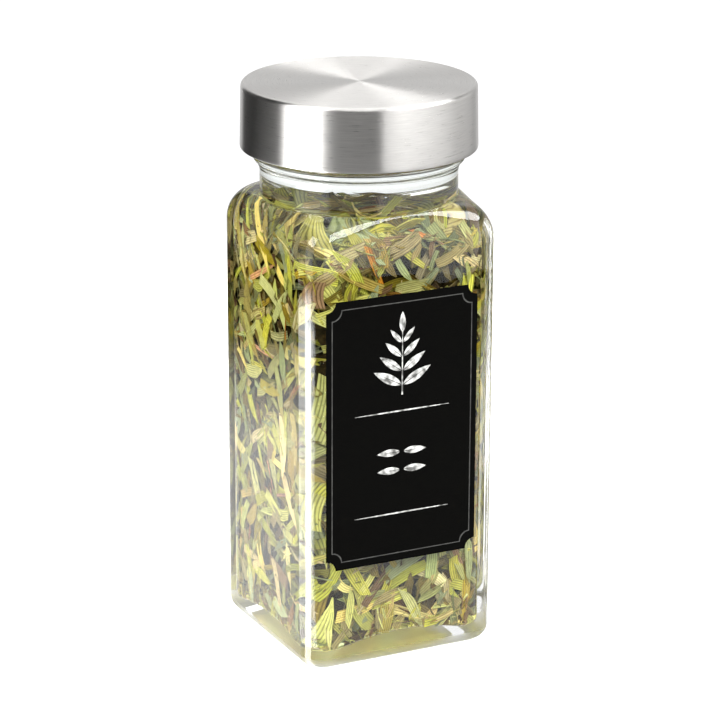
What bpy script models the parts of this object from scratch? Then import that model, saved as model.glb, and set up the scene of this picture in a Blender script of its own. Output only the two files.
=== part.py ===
"""Square glass spice jar with a steel screw cap, a front label and a filling of cut dried tarragon.

Metres, +Z up. The origin is on the table, under the middle of the jar, and the label faces -Y.
"""

import math
import random

import bpy
import bmesh
from mathutils import Matrix, Vector

# Jar body
BODY_WIDTH = 0.04445
CORNER_RADIUS = 0.0046
HEEL_RADIUS = 0.0034
WALL = 0.0023
SHOULDER_START = 0.0900
SHOULDER_TOP = 0.0978
INNER_SHOULDER_START = 0.0890
INNER_SHOULDER_TOP = 0.0970
CONTACT_BAND = 0.0030
BASE_PUSH_UP = 0.0026
UNDERSIDE_CORNER = 0.0030
FLOOR_AT_MID_FACE = 0.0052
FLOOR_AT_CORNER = 0.0028
FLOOR_FILLET = 0.0020

# Neck and its finish
NECK_RADIUS = 0.0209
NECK_BLEND = 0.0012
BEAD_RADIUS = 0.0224
BEAD_ROUND = 0.0008
BEAD_LOW = 0.1050
BEAD_TOP = 0.1076
FINISH_RADIUS = 0.0198
FINISH_FILLET = 0.0006
BORE_RADIUS = 0.0175
NECK_BORE_RADIUS = 0.0182
BORE_BLEND = 0.0010
RIM_TOP = 0.1179
RIM_ROUND = 0.0006

# Screw thread, right-handed: six turns to the inch
THREAD_LEAD = 0.0254 / 6
GLASS_THREAD_CREST = 0.02095
GLASS_THREAD_START = 0.1107
GLASS_THREAD_TURNS = 1.2
GLASS_THREAD_HALF_WIDTHS = (0.00115, 0.00055)
CAP_THREAD_CREST = 0.02035
CAP_THREAD_ROOT = 0.0217
CAP_THREAD_BELOW = 0.00155
CAP_THREAD_FIRST_TURN = 1 / 6
CAP_THREAD_TURNS = 1.1
CAP_THREAD_HALF_WIDTHS = (0.0010, 0.00045)
THREAD_SUNK = 0.0006
THREAD_FADE = 1 / 12
THREAD_END = 0.15

# Cap
TOTAL_HEIGHT = 0.1215
CAP_RIM_RADIUS = 0.0250
CAP_TOP_RADIUS = 0.02475
CAP_RIM = 0.1080
CAP_EDGE_RADIUS = 0.0009
CAP_RIM_BAND = 0.0012
CAP_RIM_ROUND = 0.0002
STEEL = 0.0005
INSERT_RADIUS = 0.0239
INSERT_PLATE = 0.0013
INSERT_CHAMFER = 0.0007
INSERT_RIM = 0.1086
LINER_RADIUS = 0.0199
LINER_THICKNESS = 0.0009

# Label
LABEL_WIDTH = 0.0350
LABEL_HEIGHT = 0.0587
LABEL_CENTRE = (-0.0009, 0.0521)
LABEL_SCOOP = 0.0022
LABEL_THICKNESS = 0.00025

# Tarragon
FILL_TOP = 0.0935
FILL_CORE_DEPTH = 0.0030
FILL_CORE_CORNER = 0.0012
STRIP_THICKNESS = 0.0008
STRIP_LENGTH = (0.011, 0.019)
STRIP_WIDTH = (0.0028, 0.0046)
STRIP_STAND = (0.0002, 0.0016)
STRIP_ROOT = (0.0002, 0.0007)
STRIP_END_BREADTHS = (0.35, 0.7, 0.9)
STRIP_MIDDLE = 0.1
STRIP_PAST_CORNER = 0.0012
STRIP_ABOVE_FLOOR = 0.0010
SIDE_LEAN = (4, 12)
TOP_LEAN = (7, 12)
TOP_SPREAD = 0.0150
SIDE_STRIPS = 36
TOP_STRIPS = 20
SEED = 34

CLEARANCE = 0.0003
CORNER_STEPS = 5
FACE_STEPS = 5
SCOOP_STEPS = 5
TURN_STEPS = 48
THREAD_STEPS_A_TURN = 24


def clear_scene():
    """Removes the startup objects."""
    for obj in list(bpy.data.objects):
        bpy.data.objects.remove(obj, do_unlink=True)


def new_collection(name):
    """A collection of this name, linked to the scene."""
    collection = bpy.data.collections.new(name)
    bpy.context.scene.collection.children.link(collection)
    return collection


def new_material(name, colour, roughness, metallic=0.0, transmission=0.0):
    """A Principled material of one colour."""
    material = bpy.data.materials.new(name)
    material.use_nodes = True
    shader = material.node_tree.nodes["Principled BSDF"]
    shader.inputs["Base Color"].default_value = (*colour, 1.0)
    shader.inputs["Roughness"].default_value = roughness
    shader.inputs["Metallic"].default_value = metallic
    shader.inputs["Transmission Weight"].default_value = transmission
    material.diffuse_color = (*colour, 1.0)
    return material


def add_object(name, mesh, collection, material=None):
    """An object that shows this mesh."""
    obj = bpy.data.objects.new(name, mesh)
    collection.objects.link(obj)
    if material:
        mesh.materials.append(material)
    return obj


def shade(obj, degrees=35):
    """Shades smooth, with edges sharper than this angle kept."""
    obj.data.shade_smooth()
    obj.data.set_sharp_from_angle(angle=math.radians(degrees))


def loft(name, rings):
    """A closed mesh through rings of equal length, with a flat cap at each end."""
    shape = bmesh.new()
    rows = [[shape.verts.new(point) for point in ring] for ring in rings]
    count = len(rows[0])
    for low, high in zip(rows, rows[1:]):
        for i in range(count):
            j = (i + 1) % count
            shape.faces.new((low[i], low[j], high[j], high[i]))
    shape.faces.new(rows[0][::-1])
    shape.faces.new(rows[-1])
    bmesh.ops.recalc_face_normals(shape, faces=shape.faces)
    mesh = bpy.data.meshes.new(name)
    shape.to_mesh(mesh)
    shape.free()
    return mesh


def fused(obj, others):
    """Fuses the other objects into this one, fills sealed hollows and drops loose scraps."""
    group = new_collection(obj.name + "_pieces")
    for other in others:
        for owner in other.users_collection:
            owner.objects.unlink(other)
        group.objects.link(other)
    union = obj.modifiers.new("union", "BOOLEAN")
    union.operation = "UNION"
    union.operand_type = "COLLECTION"
    union.collection = group
    union.solver = "MANIFOLD"
    joined = bpy.data.meshes.new_from_object(obj.evaluated_get(bpy.context.evaluated_depsgraph_get()))
    obj.modifiers.clear()
    obj.data = joined
    for other in others:
        bpy.data.objects.remove(other, do_unlink=True)
    bpy.data.collections.remove(group)
    keep_largest_shell(joined)


def keep_largest_shell(mesh):
    """Leaves only the surface that encloses the most."""
    shape = bmesh.new()
    shape.from_mesh(mesh)
    bmesh.ops.triangulate(shape, faces=shape.faces)
    left = set(shape.faces)
    shells = []
    while left:
        shell = {left.pop()}
        edge_of_shell = list(shell)
        while edge_of_shell:
            face = edge_of_shell.pop()
            for edge in face.edges:
                for other in edge.link_faces:
                    if other in left:
                        left.discard(other)
                        shell.add(other)
                        edge_of_shell.append(other)
        shells.append(shell)

    def enclosed(shell):
        total = 0.0
        for face in shell:
            a, b, c = (vert.co for vert in face.verts)
            total += a.dot(b.cross(c)) / 6
        return total

    largest = max(shells, key=enclosed)
    loose = [face for face in shape.faces if face not in largest]
    bmesh.ops.delete(shape, geom=loose, context="FACES")
    shape.to_mesh(mesh)
    shape.free()


def square_reach(half, corner, angle):
    """Distance from the middle of a rounded square to its edge, along this angle."""
    folded = abs((angle + math.pi / 4) % (math.pi / 2) - math.pi / 4)
    if half * math.tan(folded) <= half - corner:
        return half / math.cos(folded)
    along = (half - corner) * (math.cos(folded) + math.sin(folded))
    return along + math.sqrt(along**2 - 2 * (half - corner) ** 2 + corner**2)


def jar_ring(half, corner, radius, roundness, height):
    """One ring of the jar: a rounded square at roundness 0, a circle at 1.

    The height is a number, or a function of x and y.
    """
    corner_edge = math.atan2(half - corner, half)
    corner_span = math.pi / 2 - 2 * corner_edge
    points = []
    for quarter in range(4):
        for step in range(CORNER_STEPS + FACE_STEPS):
            even = (step / (CORNER_STEPS + FACE_STEPS)) * math.pi / 2
            if step < CORNER_STEPS:
                on_square = step / CORNER_STEPS * corner_span - corner_span / 2
            else:
                part = (step - CORNER_STEPS) / FACE_STEPS
                on_square = corner_span / 2 + part * 2 * corner_edge
            on_circle = even - math.pi / 8
            angle = (1 - roundness) * on_square + roundness * on_circle
            angle += math.pi / 4 + quarter * math.pi / 2
            reach = (1 - roundness) * square_reach(half, corner, angle) + roundness * radius
            x, y = reach * math.cos(angle), reach * math.sin(angle)
            points.append((x, y, height(x, y) if callable(height) else height))
    return points


def round_ring(radius, height):
    """A circular ring with as many points as the square ones."""
    return jar_ring(BODY_WIDTH / 2, CORNER_RADIUS, radius, 1.0, height)


def floor_height(x, y):
    """The jar's inner floor: domed, so that it is lowest in the corners."""
    half = BODY_WIDTH / 2 - WALL
    corner_reach = square_reach(half, inner_corner(), math.pi / 4)
    fall = (FLOOR_AT_MID_FACE - FLOOR_AT_CORNER) / (corner_reach**2 - half**2)
    return FLOOR_AT_MID_FACE + fall * (half**2 - x**2 - y**2)


def inner_corner():
    """Corner radius of the cavity."""
    return CORNER_RADIUS - WALL


def quarter_arc(count):
    """Sine and cosine pairs through a quarter turn, both ends included."""
    return [
        (math.sin(i / count * math.pi / 2), math.cos(i / count * math.pi / 2))
        for i in range(count + 1)
    ]


def jar_rings():
    """Rings from the middle of the underside, up the outside and down the inside to the floor."""
    half = BODY_WIDTH / 2
    flat_outer = half - HEEL_RADIUS
    flat_inner = flat_outer - CONTACT_BAND
    rings = []

    for part in (0.25, 0.55, 0.8, 0.93, 1.0):
        reach = flat_inner * part
        rise = BASE_PUSH_UP * (1 - part**3)
        rings.append(jar_ring(reach, UNDERSIDE_CORNER * part, reach, 1 - part, rise))
    for sine, cosine in quarter_arc(4):
        reach = flat_outer + HEEL_RADIUS * sine
        corner = UNDERSIDE_CORNER + (CORNER_RADIUS - UNDERSIDE_CORNER) * sine
        rings.append(jar_ring(reach, corner, NECK_RADIUS, 0.0, HEEL_RADIUS * (1 - cosine)))
    for sine, cosine in quarter_arc(7):
        height = SHOULDER_START + (SHOULDER_TOP - SHOULDER_START) * sine
        rings.append(jar_ring(half, CORNER_RADIUS, NECK_RADIUS, 1 - cosine, height))
    return rings + [round_ring(*point) for point in neck_profile()] + cavity_rings(0.0)


def neck_profile():
    """(radius, height) pairs up the neck, over the bead and the finish, to the mouth of the bore."""
    profile = [
        (NECK_RADIUS, SHOULDER_TOP + NECK_BLEND),
        (NECK_RADIUS, BEAD_LOW - NECK_BLEND),
        (NECK_RADIUS + BEAD_ROUND / 2, BEAD_LOW - BEAD_ROUND / 2),
        (BEAD_RADIUS - BEAD_ROUND / 2, BEAD_LOW + BEAD_ROUND / 2),
        (BEAD_RADIUS, BEAD_LOW + BEAD_ROUND),
        (BEAD_RADIUS, BEAD_TOP - BEAD_ROUND),
        (BEAD_RADIUS - BEAD_ROUND, BEAD_TOP),
        (FINISH_RADIUS + FINISH_FILLET, BEAD_TOP),
        (FINISH_RADIUS, BEAD_TOP + FINISH_FILLET),
    ]
    for sine, cosine in quarter_arc(2):
        profile.append(
            (FINISH_RADIUS - RIM_ROUND * (1 - cosine), RIM_TOP - RIM_ROUND * (1 - sine))
        )
    for sine, cosine in quarter_arc(2):
        profile.append((BORE_RADIUS + RIM_ROUND * (1 - sine), RIM_TOP - RIM_ROUND * (1 - cosine)))
    return profile


def cavity_rings(inset):
    """Rings down the inside of the jar, drawn in by the inset."""
    half = BODY_WIDTH / 2 - WALL - inset
    corner = max(FILL_CORE_CORNER, inner_corner() - inset)
    bore = NECK_BORE_RADIUS - inset
    shoulder_top = INNER_SHOULDER_TOP - inset
    rings = []
    if inset == 0.0:
        rings.append(round_ring(BORE_RADIUS, BEAD_TOP + BORE_BLEND))
        rings.append(round_ring(bore, BEAD_TOP - BORE_BLEND))
        rings.append(round_ring(bore, shoulder_top + BORE_BLEND))
    for sine, cosine in quarter_arc(6)[::-1]:
        height = INNER_SHOULDER_START + (shoulder_top - INNER_SHOULDER_START) * sine
        rings.append(jar_ring(half, corner, bore, 1 - cosine, height))
    for sine, cosine in quarter_arc(3):
        reach = half - FLOOR_FILLET * (1 - cosine)
        lift = inset + FLOOR_FILLET * (1 - sine)
        rings.append(
            jar_ring(reach, corner, bore, 0.0, lambda x, y, lift=lift: floor_height(x, y) + lift)
        )
    for part in (0.65, 0.35, 0.12):
        reach = (half - FLOOR_FILLET) * part
        rings.append(
            jar_ring(reach, corner * part, reach, 1 - part, lambda x, y: floor_height(x, y) + inset)
        )
    return rings


def thread_mesh(name, root, crest, start, first_turn, turns, half_widths):
    """A helical ridge, with half-widths for root and crest, that fades out at both ends."""
    root_half, crest_half = half_widths
    steps = round(turns * THREAD_STEPS_A_TURN)
    sections = []
    for step in range(steps + 1):
        turn = first_turn + step / THREAD_STEPS_A_TURN
        from_end = min(step, steps - step) / THREAD_STEPS_A_TURN
        fade = min(1.0, THREAD_END + (1 - THREAD_END) * from_end / THREAD_FADE)
        angle = turn * 2 * math.pi
        height = start + turn * THREAD_LEAD
        crest_here = root + (crest - root) * fade
        outline = [
            (root, -root_half),
            (crest_here, -crest_half),
            (crest_here, crest_half),
            (root, root_half),
        ]
        sections.append(
            [
                (radius * math.cos(angle), radius * math.sin(angle), height + offset)
                for radius, offset in outline
            ]
        )
    return loft(name, sections)


def turned(name, profile, collection, material):
    """A profile of (radius, height) pairs, down the outside and back up the inside, turned round Z."""
    mesh = bpy.data.meshes.new(name)
    points = [(radius, 0.0, height) for radius, height in profile]
    edges = [(i, i + 1) for i in range(len(points) - 1)]
    mesh.from_pydata(points, edges, [])
    obj = add_object(name, mesh, collection, material)
    screw = obj.modifiers.new("turn", "SCREW")
    screw.steps = TURN_STEPS
    screw.render_steps = TURN_STEPS
    screw.use_merge_vertices = True
    screw.merge_threshold = 0.00001
    screw.use_smooth_shade = True
    return obj


def as_mesh(obj):
    """The object with its modifiers applied."""
    mesh = bpy.data.meshes.new_from_object(obj.evaluated_get(bpy.context.evaluated_depsgraph_get()))
    obj.modifiers.clear()
    obj.data = mesh
    return obj


def build_jar(collection, material):
    """The moulded glass, in one piece with its thread."""
    jar = add_object("glass_jar", loft("glass_jar", jar_rings()), collection, material)
    thread = thread_mesh(
        "glass_thread",
        FINISH_RADIUS - THREAD_SUNK,
        GLASS_THREAD_CREST,
        GLASS_THREAD_START,
        0.0,
        GLASS_THREAD_TURNS,
        GLASS_THREAD_HALF_WIDTHS,
    )
    fused(jar, [add_object("glass_thread", thread, collection)])
    shade(jar)
    return jar


def cap_shell_profile():
    """The drawn steel skin, closed along the axis: outside first, then back up the inside."""
    edge = CAP_TOP_RADIUS - CAP_EDGE_RADIUS
    profile = [(0.0, TOTAL_HEIGHT)]
    for sine, cosine in quarter_arc(4):
        profile.append(
            (edge + CAP_EDGE_RADIUS * sine, TOTAL_HEIGHT - CAP_EDGE_RADIUS * (1 - cosine))
        )
    profile += [
        (CAP_RIM_RADIUS, CAP_RIM + CAP_RIM_BAND),
        (CAP_RIM_RADIUS, CAP_RIM + CAP_RIM_ROUND),
        (CAP_RIM_RADIUS - CAP_RIM_ROUND, CAP_RIM),
        (CAP_RIM_RADIUS - STEEL, CAP_RIM),
        (CAP_RIM_RADIUS - STEEL, CAP_RIM + CAP_RIM_BAND),
    ]
    inner_edge = CAP_EDGE_RADIUS - STEEL
    for sine, cosine in quarter_arc(2)[::-1]:
        profile.append(
            (edge + inner_edge * sine, TOTAL_HEIGHT - STEEL - inner_edge * (1 - cosine))
        )
    profile.append((0.0, TOTAL_HEIGHT - STEEL))
    return profile


def build_cap(collection, steel, plastic, foam):
    """The steel skin, the threaded closure inside it and the sealing disc, all on the screw axis."""
    shell = turned("cap_shell", cap_shell_profile(), collection, steel)
    plate_top = TOTAL_HEIGHT - STEEL - CLEARANCE
    plate_under = plate_top - INSERT_PLATE
    insert = turned(
        "cap_insert",
        [
            (0.0, plate_top),
            (INSERT_RADIUS - INSERT_CHAMFER, plate_top),
            (INSERT_RADIUS, plate_top - INSERT_CHAMFER),
            (INSERT_RADIUS, INSERT_RIM),
            (CAP_THREAD_ROOT, INSERT_RIM),
            (CAP_THREAD_ROOT, plate_under),
            (0.0, plate_under),
        ],
        collection,
        plastic,
    )
    as_mesh(insert)
    thread = thread_mesh(
        "cap_thread",
        CAP_THREAD_ROOT + THREAD_SUNK,
        CAP_THREAD_CREST,
        GLASS_THREAD_START - CAP_THREAD_BELOW,
        CAP_THREAD_FIRST_TURN,
        CAP_THREAD_TURNS,
        CAP_THREAD_HALF_WIDTHS,
    )
    fused(insert, [add_object("cap_thread", thread, collection)])
    shade(insert)
    liner_top = plate_under - CLEARANCE
    liner_under = liner_top - LINER_THICKNESS
    liner = turned(
        "cap_liner",
        [(0.0, liner_top), (LINER_RADIUS, liner_top), (LINER_RADIUS, liner_under), (0.0, liner_under)],
        collection,
        foam,
    )
    return shell, insert, liner


def build_label(collection, material):
    """The paper label: a sheet with a quarter circle scooped out of each corner."""
    outline = bpy.data.curves.new("front_label", "CURVE")
    outline.dimensions = "2D"
    outline.fill_mode = "BOTH"
    outline.extrude = LABEL_THICKNESS / 2
    points = []
    for quarter in range(4):
        side_x = (1, -1, -1, 1)[quarter] * LABEL_WIDTH / 2
        side_y = (1, 1, -1, -1)[quarter] * LABEL_HEIGHT / 2
        for step in range(SCOOP_STEPS + 1):
            angle = math.radians(270 - 90 * step / SCOOP_STEPS + 90 * quarter)
            points.append(
                (side_x + LABEL_SCOOP * math.cos(angle), side_y + LABEL_SCOOP * math.sin(angle))
            )
    spline = outline.splines.new("POLY")
    spline.points.add(len(points) - 1)
    for point, (x, y) in zip(spline.points, points):
        point.co = (x, y, 0.0, 1.0)
    spline.use_cyclic_u = True
    outline.materials.append(material)
    label = bpy.data.objects.new("front_label", outline)
    collection.objects.link(label)
    label.rotation_euler = (math.pi / 2, 0.0, 0.0)
    out = BODY_WIDTH / 2 + CLEARANCE + LABEL_THICKNESS / 2
    label.location = (LABEL_CENTRE[0], -out, LABEL_CENTRE[1])
    return label


def strip_mesh(name, rng, length, width, bend):
    """One cut piece of leaf: flat, a little bent along its length, cut blunt or to a point."""
    ends = [rng.choice(STRIP_END_BREADTHS) for _ in range(2)]
    middle = rng.uniform(-STRIP_MIDDLE, STRIP_MIDDLE)
    stations = ((-0.5, ends[0]), (middle, 1.0), (0.5, ends[1]))
    sections = []
    for along, breadth in stations:
        x = along * length
        z = -bend * (2 * along) ** 2
        half = width / 2 * breadth
        under, over = z - STRIP_THICKNESS / 2, z + STRIP_THICKNESS / 2
        sections.append([(x, -half, under), (x, half, under), (x, half, over), (x, -half, over)])
    return loft(name, sections)


def clear_of_glass(points):
    """How far these points must move towards the axis to lie clear inside the cavity."""
    half = BODY_WIDTH / 2 - WALL - 2 * CLEARANCE
    shoulder_rise = INNER_SHOULDER_TOP - INNER_SHOULDER_START
    overshoot = 0.0
    for point in points:
        angle = math.atan2(point.y, point.x)
        reach = square_reach(half, inner_corner(), angle)
        if point.z > INNER_SHOULDER_START:
            rise = min(1.0, (point.z - INNER_SHOULDER_START) / shoulder_rise)
            roundness = 1 - math.sqrt(1 - rise**2)
            reach += (NECK_BORE_RADIUS - 2 * CLEARANCE - reach) * roundness
        overshoot = max(overshoot, math.hypot(point.x, point.y) - reach)
    return overshoot


def place_strip(obj, matrix):
    """Puts a strip in place, then draws it in towards the axis until it clears the glass."""
    for _ in range(3):
        points = [matrix @ vert.co for vert in obj.data.vertices]
        inward = clear_of_glass(points)
        if inward <= 0:
            break
        middle = matrix.translation
        flat = Vector((middle.x, middle.y, 0.0))
        matrix = Matrix.Translation(-flat.normalized() * inward) @ matrix
    floor = max(floor_height(p.x, p.y) + 2 * CLEARANCE - p.z for p in points)
    if floor > 0:
        matrix = Matrix.Translation((0.0, 0.0, floor)) @ matrix
    obj.data.transform(matrix)


def leaf_strip(rng, collection):
    """A strip of random size lying in its own XY plane, and how far it may stand out of the core."""
    stand = rng.uniform(*STRIP_STAND)
    bend = stand + rng.uniform(*STRIP_ROOT)
    mesh = strip_mesh("strip", rng, rng.uniform(*STRIP_LENGTH), rng.uniform(*STRIP_WIDTH), bend)
    return add_object("strip", mesh, collection), stand


def lean(rng, along, across):
    """A small random lean of a strip, in degrees along its length and across it."""
    return Matrix.Rotation(rng.gauss(0.0, math.radians(along)), 4, "Y") @ Matrix.Rotation(
        rng.gauss(0.0, math.radians(across)), 4, "X"
    )


def build_tarragon(collection, material):
    """The filling: cut strips of leaf that stand out of a smaller core, fused with it."""
    rng = random.Random(SEED)
    core_rings = []
    for ring in cavity_rings(FILL_CORE_DEPTH):
        core_rings.append([(x, y, min(z, FILL_TOP)) for x, y, z in ring])
    core = add_object("tarragon_fill", loft("tarragon_fill", core_rings), collection, material)
    strips = []
    core_face = BODY_WIDTH / 2 - WALL - FILL_CORE_DEPTH
    low = FLOOR_AT_CORNER + FILL_CORE_DEPTH + STRIP_ABOVE_FLOOR
    for face in range(4):
        turn = Matrix.Rotation(face * math.pi / 2, 4, "Z")
        for number in range(SIDE_STRIPS):
            strip, stand = leaf_strip(rng, collection)
            slope = rng.uniform(-math.pi / 2, math.pi / 2)
            half_wide = abs(math.cos(slope)) * strip.dimensions.x / 2
            half_high = abs(math.sin(slope)) * strip.dimensions.x / 2
            across = rng.uniform(-1.0, 1.0) * max(0.0, core_face + STRIP_PAST_CORNER - half_wide)
            height = low + (FILL_TOP - low) * (number + rng.random()) / SIDE_STRIPS
            height = min(max(height, low + half_high), FILL_TOP - half_high)
            place = Matrix.Translation((across, -core_face - stand, height))
            tilt = Matrix.Rotation(math.pi / 2, 4, "X") @ Matrix.Rotation(slope, 4, "Z")
            place_strip(strip, turn @ place @ tilt @ lean(rng, *SIDE_LEAN))
            strips.append(strip)
    for number in range(TOP_STRIPS):
        strip, stand = leaf_strip(rng, collection)
        around = number * math.pi * (3 - math.sqrt(5))
        reach = TOP_SPREAD * math.sqrt((number + 0.5) / TOP_STRIPS)
        x, y = reach * math.cos(around), reach * math.sin(around)
        place = Matrix.Translation((x, y, FILL_TOP + stand))
        turn = Matrix.Rotation(rng.uniform(0, 2 * math.pi), 4, "Z")
        place_strip(strip, place @ turn @ lean(rng, *TOP_LEAN))
        strips.append(strip)
    fused(core, strips)
    return core


def main():
    clear_scene()
    collection = new_collection("dried_tarragon_jar")
    glass = new_material("clear_glass", (0.93, 0.96, 0.95), 0.03, transmission=0.9)
    steel = new_material("brushed_steel", (0.66, 0.65, 0.64), 0.3, metallic=1.0)
    plastic = new_material("white_plastic", (0.85, 0.85, 0.83), 0.45)
    foam = new_material("liner_foam", (0.9, 0.9, 0.88), 0.8)
    paper = new_material("black_paper", (0.008, 0.008, 0.008), 0.55)
    leaf = new_material("dried_leaf", (0.34, 0.35, 0.13), 0.8)
    jar = build_jar(collection, glass)
    screw_axis = bpy.data.objects.new("screw_axis", None)
    collection.objects.link(screw_axis)
    screw_axis.parent = jar
    for piece in build_cap(collection, steel, plastic, foam):
        piece.parent = screw_axis
    for piece in (build_label(collection, paper), build_tarragon(collection, leaf)):
        piece.parent = jar


main()
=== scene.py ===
"""Looks of a square glass spice jar of cut dried tarragon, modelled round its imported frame.

The clear jar, the steel screw cap, the black label and the leaf filling are rebuilt here as fine
meshes in the places of their plain solids. Metres, +Z up, the label faces -Y.
"""

import logging
import math
import random
from collections.abc import Callable
from dataclasses import dataclass, replace
from enum import Enum

import bmesh
import bpy
import numpy as np
from bmesh.types import BMesh, BMVert
from bpy.types import Material, Mesh, Node, NodeSocket, NodeTree, Object
from mathutils import Matrix, Vector, noise


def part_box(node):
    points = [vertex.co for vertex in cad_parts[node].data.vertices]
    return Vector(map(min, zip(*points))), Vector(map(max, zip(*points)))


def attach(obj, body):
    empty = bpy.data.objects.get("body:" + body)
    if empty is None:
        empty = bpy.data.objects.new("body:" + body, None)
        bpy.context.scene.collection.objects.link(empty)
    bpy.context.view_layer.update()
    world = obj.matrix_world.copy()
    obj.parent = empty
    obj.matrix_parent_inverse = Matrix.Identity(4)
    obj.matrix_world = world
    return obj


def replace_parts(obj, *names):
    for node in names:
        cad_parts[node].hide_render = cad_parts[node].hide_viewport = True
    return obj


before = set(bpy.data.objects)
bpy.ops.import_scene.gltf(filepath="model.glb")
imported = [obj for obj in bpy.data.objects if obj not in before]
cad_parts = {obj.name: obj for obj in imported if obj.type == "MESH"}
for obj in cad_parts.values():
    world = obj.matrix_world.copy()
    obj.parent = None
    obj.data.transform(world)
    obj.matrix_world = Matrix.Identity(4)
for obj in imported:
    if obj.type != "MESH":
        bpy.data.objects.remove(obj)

LOG = logging.getLogger("tarragon_jar")
MM = 0.001
BODY_WIDTH = 44.45 * MM
LEAF_MAP = "leaf"
TONE_AND_SHADE_MAP = "tone"
WHITE = (1.0, 1.0, 1.0, 1.0)
GOLDEN_SHARE = 0.6180339887
GOLDEN_HALF_TURNS = 3 - math.sqrt(5)
Colour = tuple[float, float, float, float]
Pair = tuple[float, float]
Ring = list[tuple[float, float, float]]
Height = float | Callable[[float, float], float]
Pattern = tuple[np.ndarray, np.ndarray, np.ndarray]
Place = tuple[Vector, Vector, Vector]


def linear(hex_colour: str) -> Colour:
    """Turns an sRGB colour into the linear one that a shader takes.

    Args:
        hex_colour: six hex digits after a #.

    Returns:
        Red, green, blue and an alpha of 1.
    """
    parts = [int(hex_colour[i : i + 2], 16) / 255 for i in (1, 3, 5)]
    turned = [c / 12.92 if c <= 0.04045 else ((c + 0.055) / 1.055) ** 2.4 for c in parts]
    return (*turned, 1.0)


def add_node(tree: NodeTree, kind: str, inputs: dict | tuple = (), **settings) -> Node:
    """Adds a shader node with its settings, values and links.

    Args:
        tree: the node tree that gets the node.
        kind: the node's Blender type name, after its first word.
        inputs: what goes into its sockets, by name or in their order: a value, another node's
            socket, or a whole node, which gives its first output that is in use.
        settings: the node's own properties.

    Returns:
        The new node.
    """
    node = tree.nodes.new("ShaderNode" + kind)
    for name, value in settings.items():
        setattr(node, name, value)
    for name, value in inputs.items() if isinstance(inputs, dict) else enumerate(inputs):
        if isinstance(value, Node):
            value = next(socket for socket in value.outputs if socket.enabled)
        if isinstance(value, NodeSocket):
            tree.links.new(value, node.inputs[name])
        else:
            node.inputs[name].default_value = value
    return node


def new_material(name: str) -> tuple[Material, NodeTree, NodeSocket]:
    """Starts a material with an empty tree.

    Args:
        name: the material's name.

    Returns:
        The material, its tree and the socket of Object coordinates.
    """
    material = bpy.data.materials.new(name)
    material.use_nodes = True
    tree = material.node_tree
    tree.nodes.clear()
    return material, tree, add_node(tree, "TexCoord").outputs["Object"]


@dataclass(frozen=True)
class ClearGlass:
    """Soda-lime container glass, moulded: clear and faintly uneven, with a stippled underside."""

    ior: float = 1.51
    roughness: float = 0.0
    tint: str = "#fafcfb"
    shadow_tint: str = "#f4f7f6"
    uneven_mm: float = 9.0
    uneven_depth: float = 0.05
    stipple: float = 0.42
    stipple_top_mm: float = 2.7
    stipple_fade_mm: float = 0.4

    def make(self) -> Material:
        """Builds the glass, which lets lamp light straight through.

        Returns:
            The material.
        """
        material, tree, place = new_material("moulded_soda_lime_glass")
        scale = 1 / (self.uneven_mm * MM)
        uneven = add_node(tree, "TexNoise", {"Vector": place, "Scale": scale, "Detail": 1.0})
        relief = {"Height": uneven, "Strength": self.uneven_depth, "Distance": MM}
        height = add_node(tree, "SeparateXYZ", (place,)).outputs["Z"]
        edges = (self.stipple_top_mm * MM, (self.stipple_top_mm + self.stipple_fade_mm) * MM)
        sockets = {
            "Base Color": linear(self.tint),
            "Roughness": add_node(tree, "MapRange", (height, *edges, self.stipple, self.roughness)),
            "IOR": self.ior,
            "Transmission Weight": 1.0,
            "Normal": add_node(tree, "Bump", relief),
        }
        glass = add_node(tree, "BsdfPrincipled", sockets)
        through = add_node(tree, "BsdfTransparent", {"Color": linear(self.shadow_tint)})
        shadow = add_node(tree, "LightPath").outputs["Is Shadow Ray"]
        add_node(tree, "OutputMaterial", (add_node(tree, "MixShader", (shadow, glass, through)),))
        return material


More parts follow.
